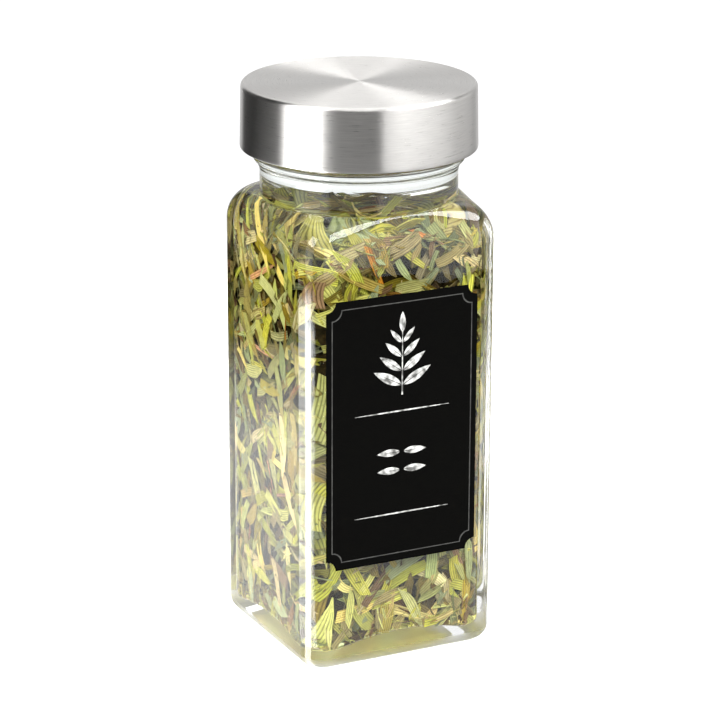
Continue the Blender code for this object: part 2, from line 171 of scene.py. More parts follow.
@dataclass(frozen=True)
class BrushedSteel:
    """Stainless steel brushed in circles round the screw axis, on the top and round the side.

    The eye sees hair-fine rings, and lights drawn out across them into wedges and upright bands.
    The lines are drawn coarser than the real ones, so that they show.
    """

    colour: str = "#d3d1ce"
    roughness: float = 0.30
    roughness_spread: float = 0.03
    anisotropic: float = 0.92
    line_mm: float = 0.16
    line_depth_mm: float = 0.02
    streak: float = 5.0
    line_contrast: float = 0.22

    def make(self) -> Material:
        """Builds the steel.

        Returns:
            The material.
        """
        material, tree, place = new_material("brushed_stainless_steel")
        flat = add_node(tree, "VectorMath", (place, (1.0, 1.0, 0.0)), operation="MULTIPLY")
        reach = add_node(tree, "VectorMath", (flat,), operation="LENGTH")
        height = add_node(tree, "SeparateXYZ", (place,)).outputs["Z"]
        across = add_node(tree, "Math", (reach, height), operation="ADD")
        lines = add_node(tree, "Math", (across, 1 / (self.line_mm * MM)), operation="MULTIPLY")
        round_axis = add_node(tree, "VectorMath", (flat,), operation="NORMALIZE")
        turn = add_node(tree, "SeparateXYZ", (round_axis,)).outputs
        streaks = [
            add_node(tree, "Math", (turn[axis], self.streak), operation="MULTIPLY") for axis in "XY"
        ]
        along = add_node(tree, "CombineXYZ", (lines, *streaks))
        grain = {"Vector": along, "Scale": 1.0, "Detail": 3.0, "Roughness": 0.65}
        hair = add_node(tree, "TexNoise", grain)
        level = linear(self.colour)[:3]
        dark = (*(c * (1 - self.line_contrast) for c in level), 1.0)
        light = (*(min(1.0, c * (1 + self.line_contrast)) for c in level), 1.0)
        span = (self.roughness - self.roughness_spread, self.roughness + self.roughness_spread)
        relief = {"Height": hair, "Strength": 0.10, "Distance": self.line_depth_mm * MM}
        tones = {"Factor": hair, "A": dark, "B": light}
        sockets = {
            "Base Color": add_node(tree, "Mix", tones, data_type="RGBA"),
            "Metallic": 1.0,
            "Anisotropic": self.anisotropic,
            "Anisotropic Rotation": 0.25,
            "Roughness": add_node(tree, "MapRange", (hair, 0.3, 0.7, *span)),
            "Normal": add_node(tree, "Bump", relief),
            "Tangent": add_node(tree, "Tangent", direction_type="RADIAL", axis="Z"),
        }
        add_node(tree, "OutputMaterial", (add_node(tree, "BsdfPrincipled", sockets),))
        return material


class Moulding(Enum):
    """The plain hidden materials of the closure: name, colour, roughness and grain in millimetres."""

    POLYPROPYLENE = ("moulded_polypropylene", "#e8e7e2", 0.42, 0.5)
    LINER_FOAM = ("pressed_polyethylene_foam", "#efeee9", 0.75, 0.3)

    def make(self) -> Material:
        """Builds the plastic with a fine moulded grain.

        Returns:
            The material.
        """
        name, colour, roughness, grain_mm = self.value
        material, tree, place = new_material(name)
        pattern = {"Vector": place, "Scale": 1 / (grain_mm * MM), "Detail": 3.0}
        grain = add_node(tree, "TexNoise", pattern)
        relief = {"Height": grain, "Strength": 0.3, "Distance": 0.05 * MM}
        bump = add_node(tree, "Bump", relief)
        sockets = {"Base Color": linear(colour), "Roughness": roughness, "IOR": 1.49, "Normal": bump}
        add_node(tree, "OutputMaterial", (add_node(tree, "BsdfPrincipled", sockets),))
        return material


@dataclass(frozen=True)
class LabelPaper:
    """Coated label paper printed solid black: matte, with the faint mottling of a full ink layer."""

    colour: str = "#040404"
    mottled: str = "#060605"
    roughness: float = 0.6
    gloss: float = 0.01
    mottle_mm: float = 2.5
    fibre_mm: float = 0.35

    def make(self) -> Material:
        """Builds the printed paper.

        Returns:
            The material.
        """
        material, tree, place = new_material("black_coated_label_paper")
        mottle, fibre = (
            add_node(tree, "TexNoise", {"Vector": place, "Scale": 1 / (size * MM), "Detail": detail})
            for size, detail in ((self.mottle_mm, 4.0), (self.fibre_mm, 2.0))
        )
        tones = {"Factor": mottle, "A": linear(self.colour), "B": linear(self.mottled)}
        relief = {"Height": fibre, "Strength": 0.25, "Distance": 0.02 * MM}
        sockets = {
            "Base Color": add_node(tree, "Mix", tones, data_type="RGBA"),
            "Roughness": self.roughness,
            "Specular IOR Level": self.gloss,
            "Normal": add_node(tree, "Bump", relief),
        }
        add_node(tree, "OutputMaterial", (add_node(tree, "BsdfPrincipled", sockets),))
        return material


@dataclass(frozen=True)
class Mottled:
    """A matte surface whose two tones drift softly into each other."""

    name: str
    dark: str
    light: str
    size_mm: float
    detail: float
    edges: Pair
    roughness: float
    gloss: float
    rough_detail: float = 0.5

    def make(self) -> Material:
        """Builds the surface.

        Returns:
            The material.
        """
        material, tree, place = new_material(self.name)
        pattern = {"Vector": place, "Scale": 1 / (self.size_mm * MM), "Detail": self.detail}
        drift = add_node(tree, "TexNoise", {**pattern, "Roughness": self.rough_detail})
        share = add_node(tree, "MapRange", (drift, *self.edges))
        tones = {"Factor": share, "A": linear(self.dark), "B": linear(self.light)}
        sockets = {
            "Base Color": add_node(tree, "Mix", tones, data_type="RGBA"),
            "Roughness": self.roughness,
            "Specular IOR Level": self.gloss,
        }
        add_node(tree, "OutputMaterial", (add_node(tree, "BsdfPrincipled", sockets),))
        return material


# Offset ink on the label: a rule barely lighter than the paper, and shaded silver-grey leaves
RULE_INK = Mottled(
    name="dark_grey_offset_ink",
    dark="#2c2c2b",
    light="#3a3a38",
    size_mm=1.6,
    detail=1.0,
    edges=(0.35, 0.65),
    roughness=0.6,
    gloss=0.1,
)
ORNAMENT_INK = replace(RULE_INK, name="silver_grey_offset_ink", dark="#4c4c4a", light="#b9b9b6")

# The crumbled leaf in the middle of the filling, seen only through gaps: broken up, and near black as
# painted shade deep inside the filling
SHADED_LEAF_CRUMBS = Mottled(
    name="crumbled_leaf_painted_shade",
    dark="#0d0a05",
    light="#3a2e16",
    size_mm=1.4,
    detail=5.0,
    rough_detail=0.7,
    edges=(0.4, 0.7),
    roughness=0.9,
    gloss=0.2,
)


class LeafTone(Enum):
    """What the drying left of the green: groove and rib colours of each kind of piece."""

    GREEN = ("tarragon_green", "#6e6e26", "#c4c05a")
    OLIVE = ("tarragon_olive", "#60501c", "#ab9744")
    GREY_GREEN = ("tarragon_grey_green", "#687040", "#aeb47c")
    STRAW = ("tarragon_straw", "#9f8440", "#e8d480")
    BROWN = ("tarragon_brown", "#472f12", "#8f6a31")
    STEM = ("tarragon_stem", "#8a4d1c", "#cf9148")


@dataclass(frozen=True)
class DriedLeaf:
    """Air-dried leaf cut into pieces: matte, with fine parallel veins along each piece."""

    tone: LeafTone
    vein_mm: float = 0.50
    vein_depth_mm: float = 0.12
    mottle_mm: float = 1.8
    stretch: tuple[float, float, float] = (0.09, 0.55, 1.0)
    apart: float = 40.0
    wander: float = 6.0
    blotch: Pair = (1.12, 0.72)
    # Value scale of each piece: random tone, with painted shade that darkens the deeper layers
    light: Pair = (0.22, 1.3)
    hue: Pair = (0.484, 0.507)
    wash: Pair = (0.75, 1.1)
    roughness: float = 0.78

    def make(self) -> Material:
        """Builds the leaf from its vein map and the tone that each piece carries, painted shade of the
        deeper pieces included.

        Returns:
            The material.
        """
        name, groove, rib = self.tone.value
        material, tree, place = new_material("dried_leaf_" + name.split("_", 1)[1])
        uv = add_node(tree, "UVMap", uv_map=LEAF_MAP)
        own = add_node(tree, "Attribute", attribute_name=TONE_AND_SHADE_MAP)
        stretched = add_node(tree, "VectorMath", (uv, self.stretch), operation="MULTIPLY")
        apart = (own, (self.apart, self.apart, self.apart), stretched)
        shifted = add_node(tree, "VectorMath", apart, operation="MULTIPLY_ADD")
        streaks = add_node(tree, "TexNoise", {"Vector": shifted, "Scale": 1.0, "Detail": 1.0})
        wander = add_node(tree, "Math", (streaks, self.wander), operation="MULTIPLY")
        across = add_node(tree, "SeparateXYZ", (uv,)).outputs["Y"]
        phase = (across, math.tau / self.vein_mm, wander)
        turns = add_node(tree, "Math", phase, operation="MULTIPLY_ADD")
        wave = add_node(tree, "Math", (turns,), operation="SINE")
        vein = add_node(tree, "MapRange", (wave, -1.0, 0.0, 0.2))
        tones = {"Factor": vein, "A": linear(groove), "B": linear(rib)}
        pattern = {"Vector": place, "Scale": 1 / (self.mottle_mm * MM), "Detail": 4.0}
        mottle = add_node(tree, "TexNoise", {**pattern, "Roughness": 0.6})
        blotches = add_node(tree, "MapRange", (mottle, 0.35, 0.75, *self.blotch))
        # Red carries each piece's brightness: random tone, with painted shade for the deeper layers
        parts = add_node(tree, "SeparateColor", (own,)).outputs
        light, hue, wash = (
            add_node(tree, "MapRange", (parts[channel], 0.0, 1.0, *span))
            for channel, span in (("Red", self.light), ("Green", self.hue), ("Blue", self.wash))
        )
        toning = {
            "Hue": hue,
            "Saturation": wash,
            "Value": add_node(tree, "Math", (blotches, light), operation="MULTIPLY"),
            "Color": add_node(tree, "Mix", tones, data_type="RGBA"),
        }
        relief = {"Height": vein, "Strength": 0.55, "Distance": self.vein_depth_mm * MM}
        sockets = {
            "Base Color": add_node(tree, "HueSaturation", toning),
            "Roughness": self.roughness,
            "Specular IOR Level": 0.3,
            "Normal": add_node(tree, "Bump", relief),
        }
        add_node(tree, "OutputMaterial", (add_node(tree, "BsdfPrincipled", sockets),))
        return material


def add_object(name: str, data: bpy.types.ID) -> Object:
    """Puts a mesh, a camera or a light in the scene.

    Args:
        name: the object's name.
        data: what it shows.

    Returns:
        The object, at the origin.
    """
    made = bpy.data.objects.new(name, data)
    bpy.context.scene.collection.objects.link(made)
    return made


def finish_piece(
    name: str, mesh: Mesh, material: Material, body: str, smooth: float | None = 40.0
) -> Object:
    """Makes a mesh one of the object's pieces.

    Args:
        name: the piece's name.
        mesh: its mesh, in place.
        material: its material.
        body: the body that it moves with.
        smooth: edges sharper than this many degrees stay sharp; None leaves every face flat.

    Returns:
        The piece.
    """
    mesh.materials.clear()
    mesh.materials.append(material)
    if smooth is not None:
        mesh.shade_smooth()
        mesh.set_sharp_from_angle(angle=math.radians(smooth))
    piece = add_object(name, mesh)
    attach(piece, body)
    LOG.info("%s: %d faces", name, len(mesh.polygons))
    return piece


def as_mesh(name: str, shape: BMesh) -> Mesh:
    """Turns a bmesh into a mesh and frees it.

    Args:
        name: the mesh's name.
        shape: the bmesh.

    Returns:
        The mesh.
    """
    mesh = bpy.data.meshes.new(name)
    shape.to_mesh(mesh)
    shape.free()
    return mesh


def add_loop(shape: BMesh, ring: Ring, filled: bool = False) -> list:
    """Adds a closed loop of edges to a bmesh.

    Args:
        shape: the bmesh.
        ring: the loop's points.
        filled: True to span it with a face.

    Returns:
        The loop's edges.
    """
    made = bmesh.ops.create_circle(shape, segments=len(ring), radius=1.0, cap_ends=filled)["verts"]
    for vert, point in zip(made, ring):
        vert.co = point
    return list(dict.fromkeys(edge for vert in made for edge in vert.link_edges))


def bridged(name: str, rings: list[Ring]) -> Mesh:
    """Skins a closed shape over rings that have the same number of points.

    Args:
        name: the mesh's name.
        rings: the rings in order; the first and the last are capped.

    Returns:
        The mesh, facing outwards.
    """
    shape = bmesh.new()
    below = []
    for number, ring in enumerate(rings):
        loop = add_loop(shape, ring, number in (0, len(rings) - 1))
        if below:
            bmesh.ops.bridge_loops(shape, edges=below + loop)
        below = loop
    bmesh.ops.recalc_face_normals(shape, faces=shape.faces)
    return as_mesh(name, shape)


def spun(name: str, profile: list[Pair], steps: int) -> Mesh:
    """Turns an outline round the Z axis.

    Args:
        name: the mesh's name.
        profile: radius and height pairs; the first and last lie on the axis.
        steps: facets in a full turn.

    Returns:
        The mesh, facing outwards.
    """
    shape = bmesh.new()
    points = [shape.verts.new((radius, 0.0, height)) for radius, height in profile]
    edges = [shape.edges.new(pair) for pair in zip(points, points[1:])]
    turn = {"cent": (0, 0, 0), "axis": (0, 0, 1), "angle": math.tau, "use_merge": True}
    bmesh.ops.spin(shape, geom=points + edges, steps=steps, **turn)
    bmesh.ops.remove_doubles(shape, verts=shape.verts, dist=0.001 * MM)
    bmesh.ops.recalc_face_normals(shape, faces=shape.faces)
    return as_mesh(name, shape)


def spaced(start: float, end: float, steps: int) -> list[float]:
    """Evenly spaced values from start to end, both included."""
    return [start + (end - start) * step / steps for step in range(steps + 1)]


def quarter_turn(steps: int) -> list[float]:
    """Evenly spaced angles from 0 to a quarter turn, in radians."""
    return [step / steps * math.pi / 2 for step in range(steps + 1)]


def arc(centre: Pair, radius: float, start: float, end: float, steps: int) -> list[Pair]:
    """Points along an arc in the profile plane.

    Args:
        centre: radius and height of the arc's centre.
        radius: the arc's radius.
        start: first angle in degrees, from the outward direction towards up.
        end: last angle in degrees.
        steps: segments.

    Returns:
        Radius and height pairs, both ends included.
    """
    turns = [math.radians(degrees) for degrees in spaced(start, end, steps)]
    return [(centre[0] + radius * math.cos(t), centre[1] + radius * math.sin(t)) for t in turns]


@dataclass(frozen=True)
class Thread:
    """A right-handed screw thread: a trapezoid ridge wound round the axis."""

    root: float
    crest: float
    start: float
    first_turn: float
    turns: float
    root_half: float
    crest_half: float
    lead: float = 25.4 * MM / 6
    steps_a_turn: int = 96
    fade_turn: float = 1 / 12
    tip_share: float = 0.08

    def mesh(self, name: str) -> Mesh:
        """Winds the ridge.

        Args:
            name: the mesh's name.

        Returns:
            The closed ridge, which fades into its root at both ends.
        """
        shape = bmesh.new()
        outline = [
            (self.root, -self.root_half),
            (self.crest, -self.crest_half),
            (self.crest, self.crest_half),
            (self.root, self.root_half),
        ]
        base = self.start + self.first_turn * self.lead
        corners = [shape.verts.new((radius, 0.0, base + rise)) for radius, rise in outline]
        bmesh.ops.spin(
            shape,
            geom=[shape.faces.new(corners)],
            cent=(0, 0, 0),
            axis=(0, 0, 1),
            dvec=(0, 0, self.lead / self.steps_a_turn),
            angle=self.turns * math.tau,
            steps=round(self.turns * self.steps_a_turn),
        )
        for vert in shape.verts:
            turn = (vert.co.z - base) / self.lead
            from_end = min(turn, self.turns - turn)
            share = min(1.0, max(self.tip_share, from_end / self.fade_turn))
            reach = math.hypot(vert.co.x, vert.co.y)
            kept = self.root + (reach - self.root) * share
            vert.co.x *= kept / reach
            vert.co.y *= kept / reach
        first = Matrix.Rotation(self.first_turn * math.tau, 3, "Z")
        bmesh.ops.rotate(shape, verts=shape.verts, cent=(0, 0, 0), matrix=first)
        bmesh.ops.recalc_face_normals(shape, faces=shape.faces)
        return as_mesh(name, shape)


def united(mesh: Mesh, other: Mesh) -> Mesh:
    """Joins two closed meshes that overlap into one.

    Args:
        mesh: the main shape.
        other: what is fused to it.

    Returns:
        The joined mesh.
    """
    first, second = add_object("first", mesh), add_object("second", other)
    union = first.modifiers.new("union", "BOOLEAN")
    union.operation = "UNION"
    union.object = second
    union.solver = "EXACT"
    solved = first.evaluated_get(bpy.context.evaluated_depsgraph_get())
    joined = bpy.data.meshes.new_from_object(solved)
    for obj in (first, second):
        bpy.data.objects.remove(obj)
    return joined


def square_reach(half: float, corner: float, angle: float | np.ndarray) -> np.ndarray:
    """Distance from the middle of a rounded square to its edge.

    Args:
        half: half of the square's width.
        corner: radius of its corners.
        angle: direction in radians.

    Returns:
        The distance, as an array of the angle's shape.
    """
    folded = np.abs((np.asarray(angle) + math.pi / 4) % (math.pi / 2) - math.pi / 4)
    straight = half / np.cos(folded)
    along = (half - corner) * (np.cos(folded) + np.sin(folded))
    inside = np.maximum(along**2 - 2 * (half - corner) ** 2 + corner**2, 0.0)
    rounded = along + np.sqrt(inside)
    return np.where(half * np.tan(folded) <= half - corner, straight, rounded)


@dataclass
class JarForm:
    """Every size of the glass, and where its inner wall is."""

    half: float
    rim_top: float
    corner: float = 4.6 * MM
    inner_corner: float = 6.0 * MM
    heel: float = 3.4 * MM
    wall: float = 2.3 * MM
    shoulder_start: float = 90.0 * MM
    shoulder_top: float = 97.8 * MM
    contact_band: float = 3.0 * MM
    push_up: float = 2.6 * MM
    underside_corner: float = 3.0 * MM
    floor_mid_face: float = 5.2 * MM
    floor_corner: float = 2.8 * MM
    floor_fillet: float = 2.0 * MM
    neck: float = 20.9 * MM
    bead: float = 22.4 * MM
    bead_low: float = 105.0 * MM
    bead_top: float = 107.6 * MM
    finish: float = 19.8 * MM
    bore: float = 17.5 * MM
    neck_bore: float = 18.2 * MM
    rim_round: float = 0.6 * MM
    outer_wave: float = 0.03 * MM
    shoulder_wave: float = 0.06 * MM
    inner_wave: float = 0.12 * MM
    waves: tuple[float, float, float] = (70, 70, 38)
    corner_steps: int = 14
    face_steps: int = 18

    @property
    def inner_half(self) -> float:
        """Half of the cavity's width."""
        return self.half - self.wall

    @property
    def inner_shoulder(self) -> Pair:
        """Heights between which the cavity turns from square to round."""
        return self.shoulder_start - 1.0 * MM, self.shoulder_top - 0.8 * MM

    def floor(self, x: float | np.ndarray, y: float | np.ndarray) -> float | np.ndarray:
        """Height of the cavity's domed floor, lowest in the corners.

        Args:
            x: place across.
            y: place in depth.

        Returns:
            The height.
        """
        reach = float(square_reach(self.inner_half, self.inner_corner, math.pi / 4))
        fall = (self.floor_mid_face - self.floor_corner) / (reach**2 - self.inner_half**2)
        return self.floor_mid_face + fall * (self.inner_half**2 - x**2 - y**2)

    def above_floor(self, lift: float) -> Callable[[float, float], float]:
        """A height that follows the cavity's floor, so far above it."""
        return lambda x, y: self.floor(x, y) + lift

    def cavity_reach(self, angle: np.ndarray, height: np.ndarray) -> np.ndarray:
        """Distance from the axis to the inner wall.

        Args:
            angle: directions in radians.
            height: heights of the same shape.

        Returns:
            The distances.
        """
        low, top = self.inner_shoulder
        rise = np.clip((height - low) / (top - low), 0.0, 1.0)
        roundness = 1 - np.sqrt(1 - rise**2)
        square = square_reach(self.inner_half, self.inner_corner, angle)
        return square + (self.neck_bore - square) * roundness

    def ring(
        self,
        half: float,
        corner: float,
        radius: float,
        roundness: float,
        height: Height,
        wave: float = 0.0,
    ) -> Ring:
        """One ring of the jar, a rounded square at roundness 0 and a circle at 1.

        Args:
            half: half-width of the square.
            corner: its corner radius.
            radius: radius of the circle.
            roundness: how far the ring is from square to round.
            height: the ring's height, or a function of x and y.
            wave: unevenness of the moulded wall.

        Returns:
            The ring's points.
        """
        edge = math.atan2(half - corner, half)
        span = math.pi / 2 - 2 * edge
        count = self.corner_steps + self.face_steps
        points = []
        for quarter in range(4):
            for step in range(count):
                if step < self.corner_steps:
                    on_square = step / self.corner_steps * span - span / 2
                else:
                    on_square = span / 2 + (step - self.corner_steps) / self.face_steps * 2 * edge
                on_circle = step / count * math.pi / 2 - self.corner_steps / count * math.pi / 4
                angle = (1 - roundness) * on_square + roundness * on_circle
                angle += math.pi / 4 + quarter * math.pi / 2
                square = float(square_reach(half, corner, angle))
                reach = (1 - roundness) * square + roundness * radius
                x, y = reach * math.cos(angle), reach * math.sin(angle)
                z = height(x, y) if callable(height) else height
                if wave:
                    place = Vector([value * often for value, often in zip((x, y, z), self.waves)])
                    share = 1 + wave * noise.noise(place) / reach
                    x, y = x * share, y * share
                points.append((x, y, z))
        return points

    def outer(self, roundness: float, height: float, wave: float = 0.0) -> Ring:
        """A ring of the outer wall, from the square body to the round neck."""
        return self.ring(self.half, self.corner, self.neck, roundness, height, wave)

    def inner(self, roundness: float, height: float, wave: float = 0.0) -> Ring:
        """A ring of the inner wall, from the square body to the round neck."""
        return self.ring(self.inner_half, self.inner_corner, self.neck_bore, roundness, height, wave)

    def round_ring(self, radius: float, height: float) -> Ring:
        """A circular ring, matched to the square ones."""
        return self.ring(self.half, self.corner, radius, 1.0, height)

    def shrunk(self, half: float, corner: float, part: float, height: Height) -> Ring:
        """A ring that is smaller and rounder the nearer it lies to the middle of an end.

        Args:
            half: half-width of the whole end.
            corner: its corner radius.
            part: the ring's share of that width.
            height: the ring's height, or a function of x and y.

        Returns:
            The ring's points.
        """
        return self.ring(half * part, corner * part, half * part, 1 - part, height)

    def outer_rings(self) -> list[Ring]:
        """Rings from the middle of the underside up to the sealing rim.

        Returns:
            The rings in order.
        """
        flat_outer = self.half - self.heel
        flat_inner = flat_outer - self.contact_band
        rings = []
        for part in (0.06, 0.2, 0.35, 0.5, 0.65, 0.78, 0.88, 0.95, 1.0):
            rise = self.push_up * (1 - part**3)
            rings.append(self.shrunk(flat_inner, self.underside_corner, part, rise))
        for turn in quarter_turn(10):
            reach = flat_outer + self.heel * math.sin(turn)
            corner = self.underside_corner + (self.corner - self.underside_corner) * math.sin(turn)
            rings.append(self.ring(reach, corner, reach, 0.0, self.heel * (1 - math.cos(turn))))
        for height in spaced(self.heel, self.shoulder_start, 25)[1:-1]:
            rings.append(self.outer(0.0, height, self.outer_wave))
        for turn in quarter_turn(24):
            height = self.shoulder_start + (self.shoulder_top - self.shoulder_start) * math.sin(turn)
            rings.append(self.outer(0.975 * (1 - math.cos(turn)), height))
        for roundness, rise in ((0.99, 0.15 * MM), (0.997, 0.5 * MM)):
            rings.append(self.outer(roundness, self.shoulder_top + rise))
        middle = (self.bead_low + self.bead_top) / 2
        half_bead = (self.bead_top - self.bead_low) / 2
        neck = spaced(self.shoulder_top + 1.1 * MM, self.bead_low - 2.0 * MM, 5)
        profile = [(self.neck, height) for height in neck]
        for out, down in ((0.12 * MM, 1.2 * MM), (0.45 * MM, 0.5 * MM)):
            profile.append((self.neck + out, self.bead_low - down))
        profile += arc((self.bead - half_bead, middle), half_bead, -70, 80, 12)
        for out, up in ((0.9 * MM, 0.0), (0.35 * MM, 0.15 * MM), (0.0, 0.6 * MM)):
            profile.append((self.finish + out, self.bead_top + up))
        profile.append((self.finish, self.rim_top - 2.0 * MM))
        rim = (self.finish - self.rim_round, self.rim_top - self.rim_round)
        profile += arc(rim, self.rim_round, 0, 90, 5)
        return rings + [self.round_ring(radius, height) for radius, height in profile]

    def inner_rings(self) -> list[Ring]:
        """Rings from the sealing rim down the inside to the middle of the floor.

        Returns:
            The rings in order.
        """
        mouth = (self.bore + self.rim_round, self.rim_top - self.rim_round)
        rings = [self.round_ring(*point) for point in arc(mouth, self.rim_round, 90, 180, 5)]
        low, top = self.inner_shoulder
        rings.append(self.round_ring(self.bore, self.bead_top + 1.6 * MM))
        for part in spaced(0.0, 1.0, 6):
            ease = part * part * (3 - 2 * part)
            radius = self.bore + (self.neck_bore - self.bore) * ease
            rings.append(self.round_ring(radius, self.bead_top + 1.0 * MM - 2.4 * MM * part))
        for height in spaced(self.bead_top - 2.2 * MM, top + 1.4 * MM, 4):
            rings.append(self.round_ring(self.neck_bore, height))
        rings.append(self.inner(0.996, top + 0.6 * MM))
        for turn in reversed(quarter_turn(20)):
            height = low + (top - low) * math.sin(turn)
            rings.append(self.inner(0.98 * (1 - math.cos(turn)), height, self.shoulder_wave))
        for height in spaced(low, self.floor_mid_face + self.floor_fillet, 45)[1:-1]:
            rings.append(self.inner(0.0, height, self.inner_wave))
        for turn in quarter_turn(10):
            reach = self.inner_half - self.floor_fillet * (1 - math.cos(turn))
            lift = self.floor_fillet * (1 - math.sin(turn))
            rings.append(self.ring(reach, self.inner_corner, reach, 0.0, self.above_floor(lift)))
        for part in (0.85, 0.68, 0.5, 0.33, 0.18, 0.06):
            reach = self.inner_half - self.floor_fillet
            rings.append(self.shrunk(reach, self.inner_corner, part, self.floor))
        return rings


@dataclass
class GlassJar:
    """The moulded jar with its neck, bead and screw thread."""

    form: JarForm
    thread_start: float = 110.7 * MM

    def build(self) -> Object:
        """Models and dresses the glass.

        Returns:
            The piece.
        """
        mesh = bridged("clear_jar", self.form.outer_rings() + self.form.inner_rings())
        thread = Thread(
            root=self.form.finish - 0.6 * MM,
            crest=self.form.finish + 1.15 * MM,
            start=self.thread_start,
            first_turn=0.0,
            turns=1.2,
            root_half=1.15 * MM,
            crest_half=0.55 * MM,
        )
        mesh = united(mesh, thread.mesh("jar_thread"))
        piece = finish_piece("clear_jar", mesh, ClearGlass().make(), "jar", 50.0)
        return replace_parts(piece, "glass_jar")


@dataclass
class ScrewCap:
    """The steel skin, the threaded closure inside it and the sealing disc."""

    rim: float
    top: float
    rim_radius: float
    top_radius: float = 24.75 * MM
    edge: float = 0.9 * MM
    steel: float = 0.5 * MM
    curl: float = 0.22 * MM
    closure_bore: float = 21.7 * MM
    closure_top: float = 1.3 * MM
    closure_edge: float = 0.7 * MM
    closure_lip: float = 0.35 * MM
    thread_crest: float = 20.35 * MM
    thread_start: float = 109.15 * MM
    disc_edge: float = 0.25 * MM
    steps: int = 192

    def build_shell(self) -> Object:
        """Models and dresses the drawn steel skin, outside first and back up the inside.

        Returns:
            The piece.
        """
        top_edge = (self.top_radius - self.edge, self.top - self.edge)
        rim_bend = self.rim + 0.9 * MM
        inside = self.rim_radius - self.steel
        profile = [(radius, self.top) for radius in (0.0, 6 * MM, 15 * MM, 23 * MM)]
        profile += arc(top_edge, self.edge, 90, 3, 10)
        profile += [(self.rim_radius - 0.04 * MM, rim_bend + 1.2 * MM), (self.rim_radius, rim_bend)]
        profile += arc((self.rim_radius - self.curl, self.rim + self.curl), self.curl, 0, -90, 5)
        profile += [(inside, self.rim), (inside, rim_bend)]
        profile += arc(top_edge, self.edge - self.steel, 3, 90, 5)
        profile.append((0.0, self.top - self.steel))
        mesh = spun("steel_cap", profile, self.steps)
        steel = BrushedSteel().make()
        shell = finish_piece("steel_cap", mesh, steel, "cap", 50.0)
        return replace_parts(shell, "cap_shell")

    def build_closure(self) -> Object:
        """Models and dresses the threaded closure.

        Returns:
            The piece.
        """
        low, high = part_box("cap_insert")
        edge, lip = self.closure_edge, self.closure_lip
        root, under = self.closure_bore, high.z - self.closure_top
        profile = [(0.0, high.z), (high.x - edge, high.z)]
        profile += arc((high.x - edge, high.z - edge), edge, 80, 0, 5)
        profile += arc((high.x - lip, low.z + lip), lip, 0, -90, 4)
        profile += arc((root + lip, low.z + lip), lip, -90, -180, 4)
        profile += [(root, under - 0.5 * MM), (root - 0.5 * MM, under), (0.0, under)]
        thread = Thread(
            root=root + 0.6 * MM,
            crest=self.thread_crest,
            start=self.thread_start,
            first_turn=1 / 6,
            turns=1.1,
            root_half=1.0 * MM,
            crest_half=0.45 * MM,
        )
        mesh = united(spun("closure", profile, self.steps), thread.mesh("closure_thread"))
        plastic = Moulding.POLYPROPYLENE.make()
        insert = finish_piece("threaded_closure", mesh, plastic, "cap")
        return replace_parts(insert, "cap_insert")

    def build_disc(self) -> Object:
        """Models and dresses the sealing disc.

        Returns:
            The piece.
        """
        low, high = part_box("cap_liner")
        edge = self.disc_edge
        profile = [(0.0, high.z)]
        profile += arc((high.x - edge, high.z - edge), edge, 90, 0, 4)
        profile += arc((high.x - edge, low.z + edge), edge, 0, -90, 4)
        profile.append((0.0, low.z))
        mesh = spun("sealing_disc", profile, self.steps // 2)
        foam = Moulding.LINER_FOAM.make()
        liner = finish_piece("sealing_disc", mesh, foam, "liner")
        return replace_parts(liner, "cap_liner")

    def build(self) -> list[Object]:
        """Builds the cap's three pieces."""
        return [self.build_shell(), self.build_closure(), self.build_disc()]


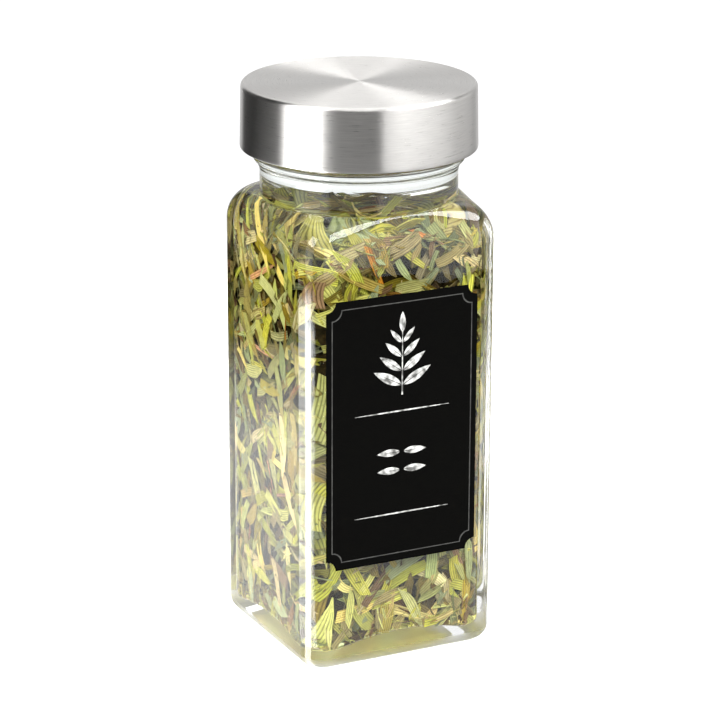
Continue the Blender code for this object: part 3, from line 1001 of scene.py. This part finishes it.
@dataclass
class FrontLabel:
    """The black paper label with a plain ornament of leaves and rules."""

    width: float
    height: float
    centre: Pair
    glass_front: float
    paper: float = 0.16 * MM
    glue: float = 0.02 * MM
    scoop: float = 2.2 * MM
    rule_inset: Pair = (1.2 * MM, 1.65 * MM)
    rule_width: float = 0.22 * MM
    ink: float = 0.015 * MM
    ink_root: float = 0.01 * MM
    twig: Pair = (7.5 * MM, 21.5 * MM)
    twig_pairs: int = 4

    @property
    def paper_front(self) -> float:
        """How far the paper's face lies in front of the axis."""
        return self.glass_front + self.glue + self.paper

    def outline(self, inset_x: float, inset_z: float) -> Ring:
        """A rectangle with a quarter circle scooped out of each corner.

        Args:
            inset_x: how far its sides lie inside the paper's.
            inset_z: how far its top and bottom lie inside the paper's.

        Returns:
            Points round the outline, in the XY plane.
        """
        points = []
        for quarter in range(4):
            x = (1, -1, -1, 1)[quarter] * (self.width / 2 - inset_x)
            z = (1, 1, -1, -1)[quarter] * (self.height / 2 - inset_z)
            for step in range(13):
                angle = math.radians(270 - 90 * step / 12 + 90 * quarter)
                across, up = self.scoop * math.cos(angle), self.scoop * math.sin(angle)
                points.append((x + across, z + up, 0.0))
        return points

    def raised(self, name: str, shape: BMesh, front: float, depth: float) -> Mesh:
        """Stands a flat drawing up against the label and gives it its thickness.

        Args:
            name: the mesh's name.
            shape: faces drawn in the XY plane round the label's centre.
            front: how far the finished face lies in front of the axis.
            depth: thickness behind that face.

        Returns:
            The mesh.
        """
        bmesh.ops.recalc_face_normals(shape, faces=shape.faces)
        for face in shape.faces:
            if face.normal.z < 0:
                face.normal_flip()
        grown = bmesh.ops.extrude_face_region(shape, geom=list(shape.faces))["geom"]
        back = [item for item in grown if isinstance(item, BMVert)]
        bmesh.ops.translate(shape, verts=back, vec=(0, 0, depth))
        upright = Matrix.Rotation(math.pi / 2, 3, "X")
        bmesh.ops.rotate(shape, verts=shape.verts, cent=(0, 0, 0), matrix=upright)
        place = (self.centre[0], -front + depth, self.centre[1])
        bmesh.ops.translate(shape, verts=shape.verts, vec=place)
        bmesh.ops.recalc_face_normals(shape, faces=shape.faces)
        return as_mesh(name, shape)

    def printed(self, name: str, draw: Callable[[BMesh], None], ink: Mottled) -> Object:
        """Prints a drawing on the paper.

        Args:
            name: the piece's name.
            draw: adds the drawing's flat faces to a bmesh.
            ink: which grey it is printed in.

        Returns:
            The piece.
        """
        shape = bmesh.new()
        draw(shape)
        mesh = self.raised(name, shape, self.paper_front + self.ink, self.ink + self.ink_root)
        return finish_piece(name, mesh, ink.make(), "jar", None)

    def draw_border(self, shape: BMesh) -> None:
        """Draws the thin rule that follows the paper's edge.

        Args:
            shape: the drawing.
        """
        loops = []
        for more in (0.0, self.rule_width):
            loops += add_loop(shape, self.outline(*(inset + more for inset in self.rule_inset)))
        bmesh.ops.bridge_loops(shape, edges=loops)

    def add_strip(self, shape: BMesh, along: int, across: int) -> list[tuple]:
        """Adds a strip of small faces to a drawing, to be shaped point by point.

        Args:
            shape: the drawing.
            along: how many faces lie along the strip.
            across: how many lie across it.

        Returns:
            Its points, each with its shares of the length and the width, from -0.5 to 0.5.
        """
        made = bmesh.ops.create_grid(shape, x_segments=along, y_segments=across, size=0.5)["verts"]
        return [(vert, vert.co.x, vert.co.y) for vert in made]

    def draw_bar(self, shape: BMesh, height: float, length: float, width: float) -> None:
        """Draws a level rule that thins out towards both ends.

        Args:
            shape: the drawing.
            height: its height above the label's centre.
            length: its length.
            width: its width in the middle.
        """
        for vert, along, across in self.add_strip(shape, 12, 1):
            thinned = math.copysign(width / 2, across) * (1 - 0.8 * (2 * along) * (2 * along))
            vert.co = (along * length, height + thinned, 0.0)

    def draw_leaf(self, shape: BMesh, root: Pair, heading: float, length: float, width: float) -> None:
        """Draws a pointed leaf as two halves with a gap for the midrib.

        Args:
            shape: the drawing.
            root: where it grows from.
            heading: its direction in degrees.
            length: its length.
            width: its greatest width.
        """
        cos, sin = math.cos(math.radians(heading)), math.sin(math.radians(heading))
        for side in (1, -1):
            for vert, along, across in self.add_strip(shape, 12, 2):
                part = along + 0.5
                bulge = math.sin(math.pi * part**0.85) ** 0.9
                gap = 0.05 * width * (1 - part)
                x, y = part * length, side * (gap + (across + 0.5) * width / 2 * bulge)
                vert.co = (root[0] + x * cos - y * sin, root[1] + x * sin + y * cos, 0.0)

    def draw_ornament(self, shape: BMesh) -> None:
        """Draws an upright leafy twig, a rule below it, two pairs of small leaves and a last rule.

        Args:
            shape: the drawing.
        """
        foot, top = self.twig
        for vert, along, across in self.add_strip(shape, 16, 1):
            part = along + 0.5
            half = math.copysign((0.34 - 0.2 * part) * MM / 2, across)
            vert.co = (half, foot + (top - foot) * part, 0.0)
        for number in range(self.twig_pairs):
            height = foot + (top - foot) * (0.16 + 0.22 * number)
            length = (7.2 - 1.1 * number) * MM
            for side in (1, -1):
                heading = 90 - side * (62 - 7 * number)
                self.draw_leaf(shape, (side * 0.25 * MM, height), heading, length, length * 0.27)
        self.draw_leaf(shape, (0.0, top - 0.3 * MM), 90, 4.4 * MM, 1.4 * MM)
        for height in (4.0 * MM, -18.6 * MM):
            self.draw_bar(shape, height, 22 * MM, 0.30 * MM)
        for height in (-5.0 * MM, -9.0 * MM):
            for side in (1, -1):
                self.draw_leaf(shape, (side * 0.5 * MM, height), 90 - 90 * side, 5.2 * MM, 1.5 * MM)

    def build(self) -> list[Object]:
        """Models and dresses the paper and its print.

        Returns:
            The pieces.
        """
        shape = bmesh.new()
        add_loop(shape, self.outline(0.0, 0.0), filled=True)
        mesh = self.raised("black_label", shape, self.paper_front, self.paper)
        paper = finish_piece("black_label", mesh, LabelPaper().make(), "jar", None)
        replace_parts(paper, "front_label")
        border = self.printed("label_border", self.draw_border, RULE_INK)
        ornament = self.printed("label_ornament", self.draw_ornament, ORNAMENT_INK)
        return [paper, border, ornament]


class Cut(Enum):
    """How the ends of a piece of leaf were cut: breadth at each end and slant."""

    BLUNT = (0.92, 0.88, 0.0)
    SLANTED = (0.95, 0.8, 0.5)
    TIP = (0.85, 0.12, 0.0)
    TORN = (0.6, 0.45, 0.9)


@dataclass(frozen=True)
class LeafPiece:
    """A pattern for one cut piece of leaf, a thin solid in its own XY plane."""

    cut: Cut
    curl: float
    fold: float
    twist: float
    bow: float
    length: float = 10 * MM
    width: float = 2.4 * MM
    thickness: float = 0.16 * MM
    along: int = 6
    across: int = 3

    def breadth(self, part: float) -> float:
        """How broad the piece is at a place along it.

        Args:
            part: share of its length, from 0 to 1.

        Returns:
            Share of its full width.
        """
        near, far, _ = self.cut.value
        if part < 0.5:
            return near + (1 - near) * min(1.0, part * 3.2)
        return far + (1 - far) * min(1.0, (1 - part) * 2.6)

    def arrays(self) -> Pattern:
        """Models the piece.

        Returns:
            Its points, its four-sided faces, and a map in millimetres for each face corner.
        """
        slant = self.cut.value[2]
        shape = bmesh.new()
        bmesh.ops.create_grid(shape, x_segments=self.along, y_segments=self.across, size=0.5)
        flat = shape.verts.layers.float_vector.new("flat")
        for vert in shape.verts:
            u, v = vert.co.x, vert.co.y
            x = u * self.length + slant * v * self.width * (abs(u) * 2) ** 3
            y = v * self.width * self.breadth(u + 0.5) + self.bow * self.width * (1 - 4 * u * u)
            z = -self.curl * self.length * (2 * u) ** 2 + self.fold * self.width * abs(v)
            cos, sin = math.cos(self.twist * u), math.sin(self.twist * u)
            vert[flat] = (x / MM, v * self.width / MM, 0.0)
            vert.co = (x, y * cos - z * sin, y * sin + z * cos)
        bmesh.ops.recalc_face_normals(shape, faces=shape.faces)
        bmesh.ops.solidify(shape, geom=list(shape.faces), thickness=self.thickness)
        bmesh.ops.recalc_face_normals(shape, faces=shape.faces)
        shape.verts.index_update()
        points = np.array([vert.co[:] for vert in shape.verts])
        faces = np.array([[vert.index for vert in face.verts] for face in shape.faces])
        flats = np.array([vert[flat][:2] for vert in shape.verts])
        shape.free()
        nearest = np.abs(points[:, None, :2] - points[None, :, :2]).sum(axis=2)
        unset = (flats == 0).all(axis=1)
        nearest[:, unset] = 1.0
        flats[unset] = flats[nearest[unset].argmin(axis=1)]
        return points, faces, flats[faces.ravel()]


@dataclass
class Scatter:
    """A layer of leaf pieces: how many, how deep, how large, how askew and how light they are; the
    lightness is random tone, with painted shade that darkens the deeper layers.
    """

    count: int
    depth: Pair
    length: Pair
    width: Pair
    lean: float
    lightness_and_depth_shade: Pair
    shares: tuple[float, ...]


FRESH = (0.46, 0.22, 0.09, 0.16, 0.05, 0.02)
DULL = (0.22, 0.32, 0.12, 0.14, 0.18, 0.02)

# The layers on the walls, from the glass inwards, in millimetres and degrees. Their brightness ranges
# fall from layer to layer: random tone, and painted shade that deepens away from the glass. Their last
# value is the share of each leaf tone.
WALL_LAYERS = [
    Scatter(330, (0.5, 0.9), (7, 17), (1.7, 3.9), 5.0, (0.5, 1.0), FRESH),
    Scatter(560, (0.7, 1.3), (4, 12), (1.0, 2.9), 9.0, (0.35, 1.0), FRESH),
    Scatter(900, (1.2, 2.1), (4, 12), (0.9, 2.8), 13.0, (0.1, 0.6), DULL),
    Scatter(1000, (2.0, 3.2), (4, 12), (1.2, 3.2), 15.0, (0.0, 0.35), DULL),
]

# The pieces that lie loose on the top of the filling and on the floor
LOOSE = Scatter(0, (0, 0), (5, 14), (1.2, 3.2), 20.0, (0.3, 1.0), FRESH)


@dataclass
class TarragonFill:
    """The filling: thousands of cut leaf pieces against the glass, round a core of crumbs that is dark
    as painted shade.
    """

    form: JarForm
    top_mid: float = 98.0 * MM
    top_edge: float = 90.2 * MM
    clear: float = 0.28 * MM
    corner: float = 9.0 * MM
    core_inset: float = 3.3 * MM
    core_corner: float = 2.0 * MM
    core_cover: float = 2.6 * MM
    core_wave: float = 1.1 * MM
    top_count: int = 520
    floor_count: int = 260
    patterns: int = 20
    stem_width: float = 0.4
    seed: int = 34

    def top_height(self, reach: float) -> float:
        """Height of the heaped top of the filling, at a distance from the axis."""
        share = min(1.0, reach / self.form.inner_half)
        return self.top_mid - (self.top_mid - self.top_edge) * share * share

    def make_patterns(self, rng: random.Random) -> list[Pattern]:
        """Models the leaf pieces that the filling repeats.

        Args:
            rng: source of the random draws.

        Returns:
            Points, faces and map of each.
        """
        made = []
        for number in range(self.patterns):
            pattern = LeafPiece(
                cut=list(Cut)[number % len(Cut)],
                curl=rng.uniform(-0.03, 0.10),
                fold=rng.uniform(-0.1, 0.45),
                twist=rng.gauss(0.0, 0.35),
                bow=rng.uniform(-0.35, 0.35),
            )
            made.append(pattern.arrays())
        return made

    def wall_places(self, layer: Scatter, rng: random.Random) -> list[Place]:
        """Places against the four walls.

        Args:
            layer: the layer.
            rng: source of the random draws.

        Returns:
            Middle, outward normal and upward direction of each piece.
        """
        half, corner = self.form.inner_half, self.corner
        straight = half - corner
        side = 2 * straight + corner * math.pi / 2
        low = self.form.floor_corner + 1.5 * MM
        places = []
        for number in range(layer.count):
            quarter, along = divmod(((number * GOLDEN_SHARE) % 1.0) * 4 * side, side)
            along -= side / 2
            if abs(along) <= straight:
                x, y, turn = along, -half, 0.0
            else:
                over = (abs(along) - straight) / corner
                turn = math.copysign(over, along)
                x = math.copysign(straight + corner * math.sin(over), along)
                y = -(straight + corner * math.cos(over))
            spin = Matrix.Rotation(quarter * math.pi / 2, 3, "Z")
            normal = Vector((math.sin(turn), -math.cos(turn), 0.0))
            normal.rotate(spin)
            middle = spin @ Vector((x, y, 0.0))
            middle.z = low + (self.top_edge + 1.0 * MM - low) * rng.random()
            middle -= normal * rng.uniform(*(depth * MM for depth in layer.depth))
            places.append((middle, normal, Vector((0, 0, 1))))
        return places

    def heap_places(self, count: int, rng: random.Random, under: bool) -> list[Place]:
        """Places over the heaped top of the filling, or over the floor.

        Args:
            count: how many.
            rng: source of the random draws.
            under: True for the floor.

        Returns:
            Middle, outward normal and a direction along the surface of each piece.
        """
        places = []
        for number in range(count):
            angle = number * math.pi * GOLDEN_HALF_TURNS
            share = math.sqrt((number + 0.5) / count)
            wall = float(square_reach(self.form.inner_half, self.form.inner_corner, angle))
            reach = share * (wall - 1.5 * MM)
            x, y = reach * math.cos(angle), reach * math.sin(angle)
            if under:
                middle = Vector((x, y, self.form.floor(x, y) + rng.uniform(0.5, 1.6) * MM))
                normal = Vector((0.0, 0.0, -1.0))
            else:
                middle = Vector((x, y, self.top_height(reach) + rng.uniform(-1.6, 0.6) * MM))
                normal = Vector((x * 8, y * 8, 1.0)).normalized()
            places.append((middle, normal, Vector((1, 0, 0))))
        return places

    def keep_inside(self, points: np.ndarray) -> np.ndarray:
        """Moves a piece until it lies clear inside the cavity.

        Args:
            points: the piece's points.

        Returns:
            The moved points.
        """
        for _ in range(4):
            angle = np.arctan2(points[:, 1], points[:, 0])
            square = square_reach(self.form.inner_half - self.clear, self.corner, angle)
            wall = np.minimum(self.form.cavity_reach(angle, points[:, 2]) - self.clear, square)
            over = float((np.hypot(points[:, 0], points[:, 1]) - wall).max())
            if over <= 0:
                break
            middle = points.mean(axis=0)
            flat = middle[:2] / max(1e-9, float(np.hypot(*middle[:2])))
            points = points - np.array([*(flat * over * 1.02), 0.0])
        floor = self.form.floor(points[:, 0], points[:, 1]) + self.clear
        sunk = float((floor - points[:, 2]).max())
        return points + np.array([0.0, 0.0, sunk]) if sunk > 0 else points

    def lay(
        self, layer: Scatter, place: Place, stock: list[Pattern], rng: random.Random
    ) -> tuple[LeafTone, np.ndarray, np.ndarray, np.ndarray, np.ndarray]:
        """Lays one piece in place.

        Args:
            layer: the layer that it belongs to.
            place: its middle, outward normal and a direction along the surface.
            stock: the patterns.
            rng: source of the random draws.

        Returns:
            Its leaf tone, its points, faces and map, and the random tone and painted shade values of
            each point.
        """
        middle, normal, up = place
        tone = rng.choices(list(LeafTone), layer.shares)[0]
        points, faces, flat = stock[rng.randrange(len(stock))]
        shortest, longest = (length * MM for length in layer.length)
        thinnest, widest = (width * MM for width in layer.width)
        length = rng.triangular(shortest, longest, shortest)
        width = rng.triangular(thinnest, widest, thinnest * 1.3)
        if tone is LeafTone.STEM:
            width *= self.stem_width
        side = up.cross(normal).normalized()
        rise = normal.cross(side).normalized()
        slope = rng.uniform(-math.pi / 2, math.pi / 2)
        along = side * math.cos(slope) + rise * math.sin(slope)
        across = normal.cross(along)
        tip = Matrix.Rotation(math.radians(rng.gauss(0, layer.lean)), 3, across)
        roll = Matrix.Rotation(math.radians(rng.gauss(0, layer.lean * 1.6)), 3, along)
        basis = tip @ roll @ Matrix((along, across, normal)).transposed()
        size = np.array([length / LeafPiece.length, width / LeafPiece.width, 1.0])
        placed = (points * size) @ np.array(basis).T + np.array(middle)
        # Brightness of the piece, random tone with painted shade by layer depth, then draws for hue
        # and saturation
        own = (rng.uniform(*layer.lightness_and_depth_shade), rng.random(), rng.random(), 1.0)
        tones = np.tile(own, (len(points), 1))
        return tone, self.keep_inside(placed), faces, flat * size[:2], tones

    def build_tone(self, tone: LeafTone, strips: list[tuple[np.ndarray, ...]]) -> Object:
        """Makes all pieces of one tone one mesh, and dresses it.

        Args:
            tone: the leaf tone.
            strips: points, faces, map, and tone and painted shade values of each piece.

        Returns:
            The piece.
        """
        points, faces, maps, tones = zip(*strips)
        starts = np.cumsum([0, *(len(placed) for placed in points[:-1])])
        faces = [quads + start for quads, start in zip(faces, starts)]
        name = tone.value[0]
        mesh = bpy.data.meshes.new(name)
        mesh.from_pydata(np.concatenate(points), [], np.concatenate(faces).tolist())
        uv = mesh.uv_layers.new(name=LEAF_MAP)
        uv.data.foreach_set("uv", np.concatenate(maps).astype(np.float32).ravel())
        colour = mesh.color_attributes.new(TONE_AND_SHADE_MAP, "FLOAT_COLOR", "POINT")
        colour.data.foreach_set("color", np.concatenate(tones).astype(np.float32).ravel())
        return finish_piece(name, mesh, DriedLeaf(tone).make(), "jar", 60.0)

    def build_core(self) -> Object:
        """Models and dresses the crumbs behind the outer pieces, near black as painted shade.

        Returns:
            The piece.
        """
        form, corner = self.form, self.core_corner
        half = form.inner_half - self.core_inset
        parts = (0.05, 0.4, 0.8, 1.0)
        foot = form.above_floor(self.core_cover)
        rings = [form.shrunk(half, corner, part, foot) for part in parts]
        for step in range(40):
            height = 12 * MM + (self.top_edge - 14 * MM) * step / 39
            rings.append(form.ring(half, corner, half, 0.0, height, self.core_wave))
        for part in reversed(parts[:-1]):
            height = self.top_height(half * part) - self.core_cover
            rings.append(form.shrunk(half, corner, part, height))
        mesh = bridged("tarragon_crumbs_painted_shade", rings)
        return finish_piece("tarragon_crumbs_painted_shade", mesh, SHADED_LEAF_CRUMBS.make(), "jar", 60.0)

    def build(self) -> list[Object]:
        """Models and dresses the filling.

        Returns:
            The pieces.
        """
        rng = random.Random(self.seed)
        stock = self.make_patterns(rng)
        batches = [(layer, self.wall_places(layer, rng)) for layer in WALL_LAYERS]
        for count, under in ((self.top_count, False), (self.floor_count, True)):
            batches.append((LOOSE, self.heap_places(count, rng, under)))
        laid = {tone: [] for tone in LeafTone}
        for layer, places in batches:
            for place in places:
                tone, *strip = self.lay(layer, place, stock, rng)
                laid[tone].append(strip)
        pieces = [self.build_tone(tone, strips) for tone, strips in laid.items()]
        pieces.append(self.build_core())
        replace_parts(pieces[0], "tarragon_fill")
        return pieces


# Degrees to the right of the camera, brightness of the wall there, share of the high lamp
PANELS = [
    (-180, 0.70, 0.0),
    (-154, 0.70, 0.0),
    (-148, 0.10, 0.0),
    (-120, 0.05, 0.0),
    (-80, 0.16, 0.0),
    (-76, 2.2, 0.7),
    (-38, 2.2, 0.7),
    (-32, 0.14, 0.0),
    (20, 0.10, 0.0),
    (25, 1.7, 0.0),
    (38, 1.5, 0.0),
    (42, 1.45, 1.0),
    (70, 1.2, 1.0),
    (96, 1.1, 1.0),
    (110, 0.95, 1.0),
    (125, 0.9, 0.0),
    (148, 0.5, 0.0),
    (156, 0.70, 0.0),
    (180, 0.70, 0.0),
]

# Degrees to the right of the camera from the jar's nearest corner, then the shares of the painted glow
# that the floor shows only in reflections in the glass, near the jar and further out
TABLE = [
    (-180, 0.13, 0.0),
    (-130, 0.13, 0.0),
    (-127, 0.12, 0.0),
    (-82, 0.12, 0.0),
    (-78, 0.0, 1.0),
    (-46, 0.0, 1.0),
    (-42, 0.06, 0.0),
    (180, 0.07, 0.0),
]

# Name, degrees to the right of the camera, degrees up, distance, width, watts
SOFTBOXES = [
    ("right_softbox", 52.0, 38.0, 0.75, 0.45, 7.5),
    ("left_softbox", -72.0, 34.0, 0.75, 0.45, 6.5),
    ("overhead_softbox", 150.0, 78.0, 0.9, 0.7, 6.0),
    ("front_softbox", 0.0, 12.0, 0.9, 0.5, 2.0),
    ("table_bounce", 0.0, -80.0, 0.35, 0.5, 5.0),
]


@dataclass
class Studio:
    """The plain pale floor, the soft light and the camera."""

    azimuth: float = -26.39
    elevation: float = 17.951
    distance: float = 671.9 * MM
    aim_height: float = 60.47 * MM
    aim_right: float = 0.36 * MM
    roll: float = -0.196
    lens: float = 156.92
    floor_radius: float = 0.32
    floor_colour: str = "#f2f2f2"
    floor_lift: float = 0.22
    floor_through_glass: float = 0.95
    dome_light: float = 1.3
    backdrop: float = 1.1
    overhead: float = 1.65
    overhead_foot: Pair = (0.35, 0.55)
    overhead_side: Pair = (0.22, 0.42)
    wall_foot: Pair = (-0.30, -0.255)
    wall_top: Pair = (0.35, 0.6)
    lamp: float = 12.0
    lamp_height: Pair = (0.55, 0.86)
    table_glow: float = 14.0
    near_table: Pair = (0.14, 0.23)
    far_table: Pair = (0.27, 0.31)
    table_from: tuple[float, float, float] = (-0.019, -0.019, 0.0)
    bounces: int = 32
    glossy_bounces: int = 24

    def aimed(
        self, name: str, data: bpy.types.ID, turn: float, rise: float, distance: float
    ) -> Object:
        """Hangs a camera or a light round the jar, and points it at the jar's middle.

        Args:
            name: the object's name.
            data: the camera or the light.
            turn: degrees to the right of the label's normal.
            rise: degrees above level.
            distance: how far it is from the jar's middle.

        Returns:
            The object.
        """
        turn, rise = math.radians(turn), math.radians(rise)
        flat = math.cos(rise)
        away = Vector((math.sin(turn) * flat, -math.cos(turn) * flat, math.sin(rise)))
        made = add_object(name, data)
        made.location = Vector((0, 0, self.aim_height)) + away * distance
        made.rotation_mode = "QUATERNION"
        made.rotation_quaternion = away.to_track_quat("Z", "Y")
        return made

    def add_camera(self) -> None:
        """Places the camera as in the photograph."""
        data = bpy.data.cameras.new("camera")
        data.lens = self.lens
        data.sensor_width = 36.0
        camera = self.aimed("camera", data, self.azimuth, self.elevation, self.distance)
        turn = math.radians(self.azimuth)
        camera.location += Vector((math.cos(turn), math.sin(turn), 0.0)) * self.aim_right
        roll = Matrix.Rotation(math.radians(-self.roll), 3, "Z").to_quaternion()
        camera.rotation_quaternion = camera.rotation_quaternion @ roll
        bpy.context.scene.camera = camera

    def add_lights(self) -> None:
        """Hangs the large soft lights, which the glass and the steel don't mirror."""
        for name, turn, rise, distance, size, power in SOFTBOXES:
            data = bpy.data.lights.new(name, "AREA")
            data.shape = "DISK"
            data.size = size
            data.energy = power
            light = self.aimed(name, data, self.azimuth + turn, rise, distance)
            light.visible_camera = False
            light.visible_glossy = False
            light.visible_transmission = False

    def compass(
        self, tree: NodeTree, heading: NodeSocket | Node, stops: list[tuple[float, ...]]
    ) -> dict[str, NodeSocket]:
        """Looks up levels by the direction of a vector, seen from above.

        Args:
            tree: the node tree.
            heading: what gives the vector.
            stops: degrees to the right of the camera from -180 to 180, and two levels at each.

        Returns:
            Sockets by name, of which Red and Green give the two levels.
        """
        parts = add_node(tree, "SeparateXYZ", (heading,)).outputs
        minus_y = add_node(tree, "Math", (parts["Y"], -1.0), operation="MULTIPLY")
        turn = add_node(tree, "Math", (parts["X"], minus_y), operation="ARCTAN2")
        from_camera = math.radians(180 - self.azimuth)
        steps = (("ADD", from_camera), ("FLOORED_MODULO", math.tau), ("DIVIDE", math.tau))
        for operation, number in steps:
            turn = add_node(tree, "Math", (turn, number), operation=operation)
        looked_up = add_node(tree, "ValToRGB", (turn,))
        ramp = looked_up.color_ramp
        ramp.interpolation = "LINEAR"
        ramp.elements.remove(ramp.elements[-1])
        for number, (degrees, *levels) in enumerate(stops):
            place = (degrees + 180) / 360
            stop = ramp.elements[0] if number == 0 else ramp.elements.new(place)
            stop.position = place
            stop.color = (*levels, 0.0, 1.0)
        levels = add_node(tree, "SeparateColor", (looked_up,))
        return {socket.name: socket for socket in levels.outputs}

    def add_floor(self) -> None:
        """Lays a pale round floor that the white surroundings run into, and that glows in wedges round
        the jar for reflections only: a painted reflection in the glass.
        """
        shape = bmesh.new()
        bmesh.ops.create_circle(shape, cap_ends=True, segments=128, radius=self.floor_radius)
        material, tree, place = new_material("white_sweep")
        reach = add_node(tree, "VectorMath", (place,), operation="LENGTH")
        offset = add_node(tree, "VectorMath", (place, self.table_from), operation="SUBTRACT")
        level = self.compass(tree, offset, TABLE)
        near, far = (
            add_node(tree, "MapRange", (reach, *edges, self.table_glow, 0.0))
            for edges in (self.near_table, self.far_table)
        )
        glow = add_node(tree, "Math", (level["Red"], near), operation="MULTIPLY")
        glow = add_node(tree, "Math", (level["Green"], far, glow), operation="MULTIPLY_ADD")
        sockets = {
            "Base Color": linear(self.floor_colour),
            "Roughness": 0.9,
            "Specular IOR Level": 0.1,
            "Emission Color": WHITE,
            "Emission Strength": self.floor_lift,
        }
        matte = add_node(tree, "BsdfPrincipled", sockets)
        through_glass = add_node(tree, "Emission", {"Strength": self.floor_through_glass})
        # Painted reflection: emission that only reflections in the glass and the steel see
        mirrored = add_node(tree, "Emission", {"Strength": glow})
        ray = add_node(tree, "LightPath").outputs
        mix = add_node(tree, "MixShader", (ray["Is Transmission Ray"], matte, through_glass))
        mix = add_node(tree, "MixShader", (ray["Is Glossy Ray"], mix, mirrored))
        add_node(tree, "OutputMaterial", (mix,))
        floor = add_object("floor", as_mesh("floor", shape))
        floor.data.materials.append(material)
        floor.visible_shadow = False

    def mirrored_light(self, tree: NodeTree) -> Node:
        """Draws the soft panels and the high lamp that the glass and the steel mirror.

        Args:
            tree: the world's node tree.

        Returns:
            A node that gives the brightness.
        """
        heading = add_node(tree, "TexCoord").outputs["Generated"]
        level = self.compass(tree, heading, PANELS)
        up = add_node(tree, "SeparateXYZ", (heading,)).outputs["Z"]
        aim = math.radians(self.azimuth)
        right = (heading, (math.cos(aim), math.sin(aim), 0.0))
        sideways = add_node(tree, "VectorMath", right, operation="DOT_PRODUCT")
        off_line = add_node(tree, "Math", (sideways,), operation="ABSOLUTE")
        raised = add_node(tree, "MapRange", (up, *self.overhead_foot, 0.0, self.overhead))
        narrow = add_node(tree, "MapRange", (off_line, *self.overhead_side, 1.0, 0.0))
        total = add_node(tree, "Math", (raised, narrow), operation="MULTIPLY")
        low, high = self.lamp_height
        band = (up, (low + high) / 2, (high - low) / 2)
        lamp = add_node(tree, "Math", band, operation="COMPARE")
        lamp = add_node(tree, "Math", (lamp, self.lamp), operation="MULTIPLY")
        below = add_node(tree, "MapRange", (up, *self.wall_top, 1.0, 0.0))
        above = add_node(tree, "MapRange", (up, *self.wall_foot))
        wall = add_node(tree, "Math", (below, above), operation="MULTIPLY")
        for channel, mask in (("Red", wall), ("Green", lamp)):
            total = add_node(tree, "Math", (level[channel], mask, total), operation="MULTIPLY_ADD")
        return total

    def add_surroundings(self) -> None:
        """Surrounds the object with white for the eye, and with soft panels for its reflections."""
        world = bpy.data.worlds.new("studio")
        bpy.context.scene.world = world
        world.use_nodes = True
        tree = world.node_tree
        tree.nodes.clear()
        soft, seen, mirrored = (
            add_node(tree, "Background", (WHITE, strength))
            for strength in (self.dome_light, self.backdrop, self.mirrored_light(tree))
        )
        ray = add_node(tree, "LightPath").outputs
        straight = (ray["Is Camera Ray"], ray["Is Transmission Ray"])
        looked_at = add_node(tree, "Math", straight, operation="MAXIMUM")
        first = (looked_at, ray["Diffuse Depth"])
        first = add_node(tree, "Math", first, operation="SUBTRACT", use_clamp=True)
        lit = add_node(tree, "MixShader", (ray["Is Glossy Ray"], soft, mirrored))
        mix = add_node(tree, "MixShader", (first, lit, seen))
        add_node(tree, "OutputWorld", (mix,))
        world.cycles.sampling_method = "NONE"

    def build(self) -> None:
        """Sets up the whole studio."""
        self.add_camera()
        self.add_floor()
        self.add_surroundings()
        self.add_lights()
        scene = bpy.context.scene
        scene.cycles.max_bounces = self.bounces
        scene.cycles.glossy_bounces = self.glossy_bounces
        scene.cycles.transmission_bounces = self.bounces
        scene.view_settings.view_transform = "Standard"
        scene.view_settings.look = "None"


def main() -> None:
    """Builds the jar round the frame and reports each piece."""
    logging.basicConfig(level=logging.INFO, format="%(message)s")
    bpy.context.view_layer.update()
    low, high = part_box("glass_jar")
    form = JarForm(half=BODY_WIDTH / 2, rim_top=high.z)
    GlassJar(form).build()
    low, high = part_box("cap_shell")
    ScrewCap(rim=low.z, top=high.z, rim_radius=high.x).build()
    low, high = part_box("front_label")
    FrontLabel(
        width=high.x - low.x,
        height=high.z - low.z,
        centre=((low.x + high.x) / 2, (low.z + high.z) / 2),
        glass_front=form.half,
    ).build()
    TarragonFill(form).build()
    Studio().build()


if __name__ == "__main__":
    main()
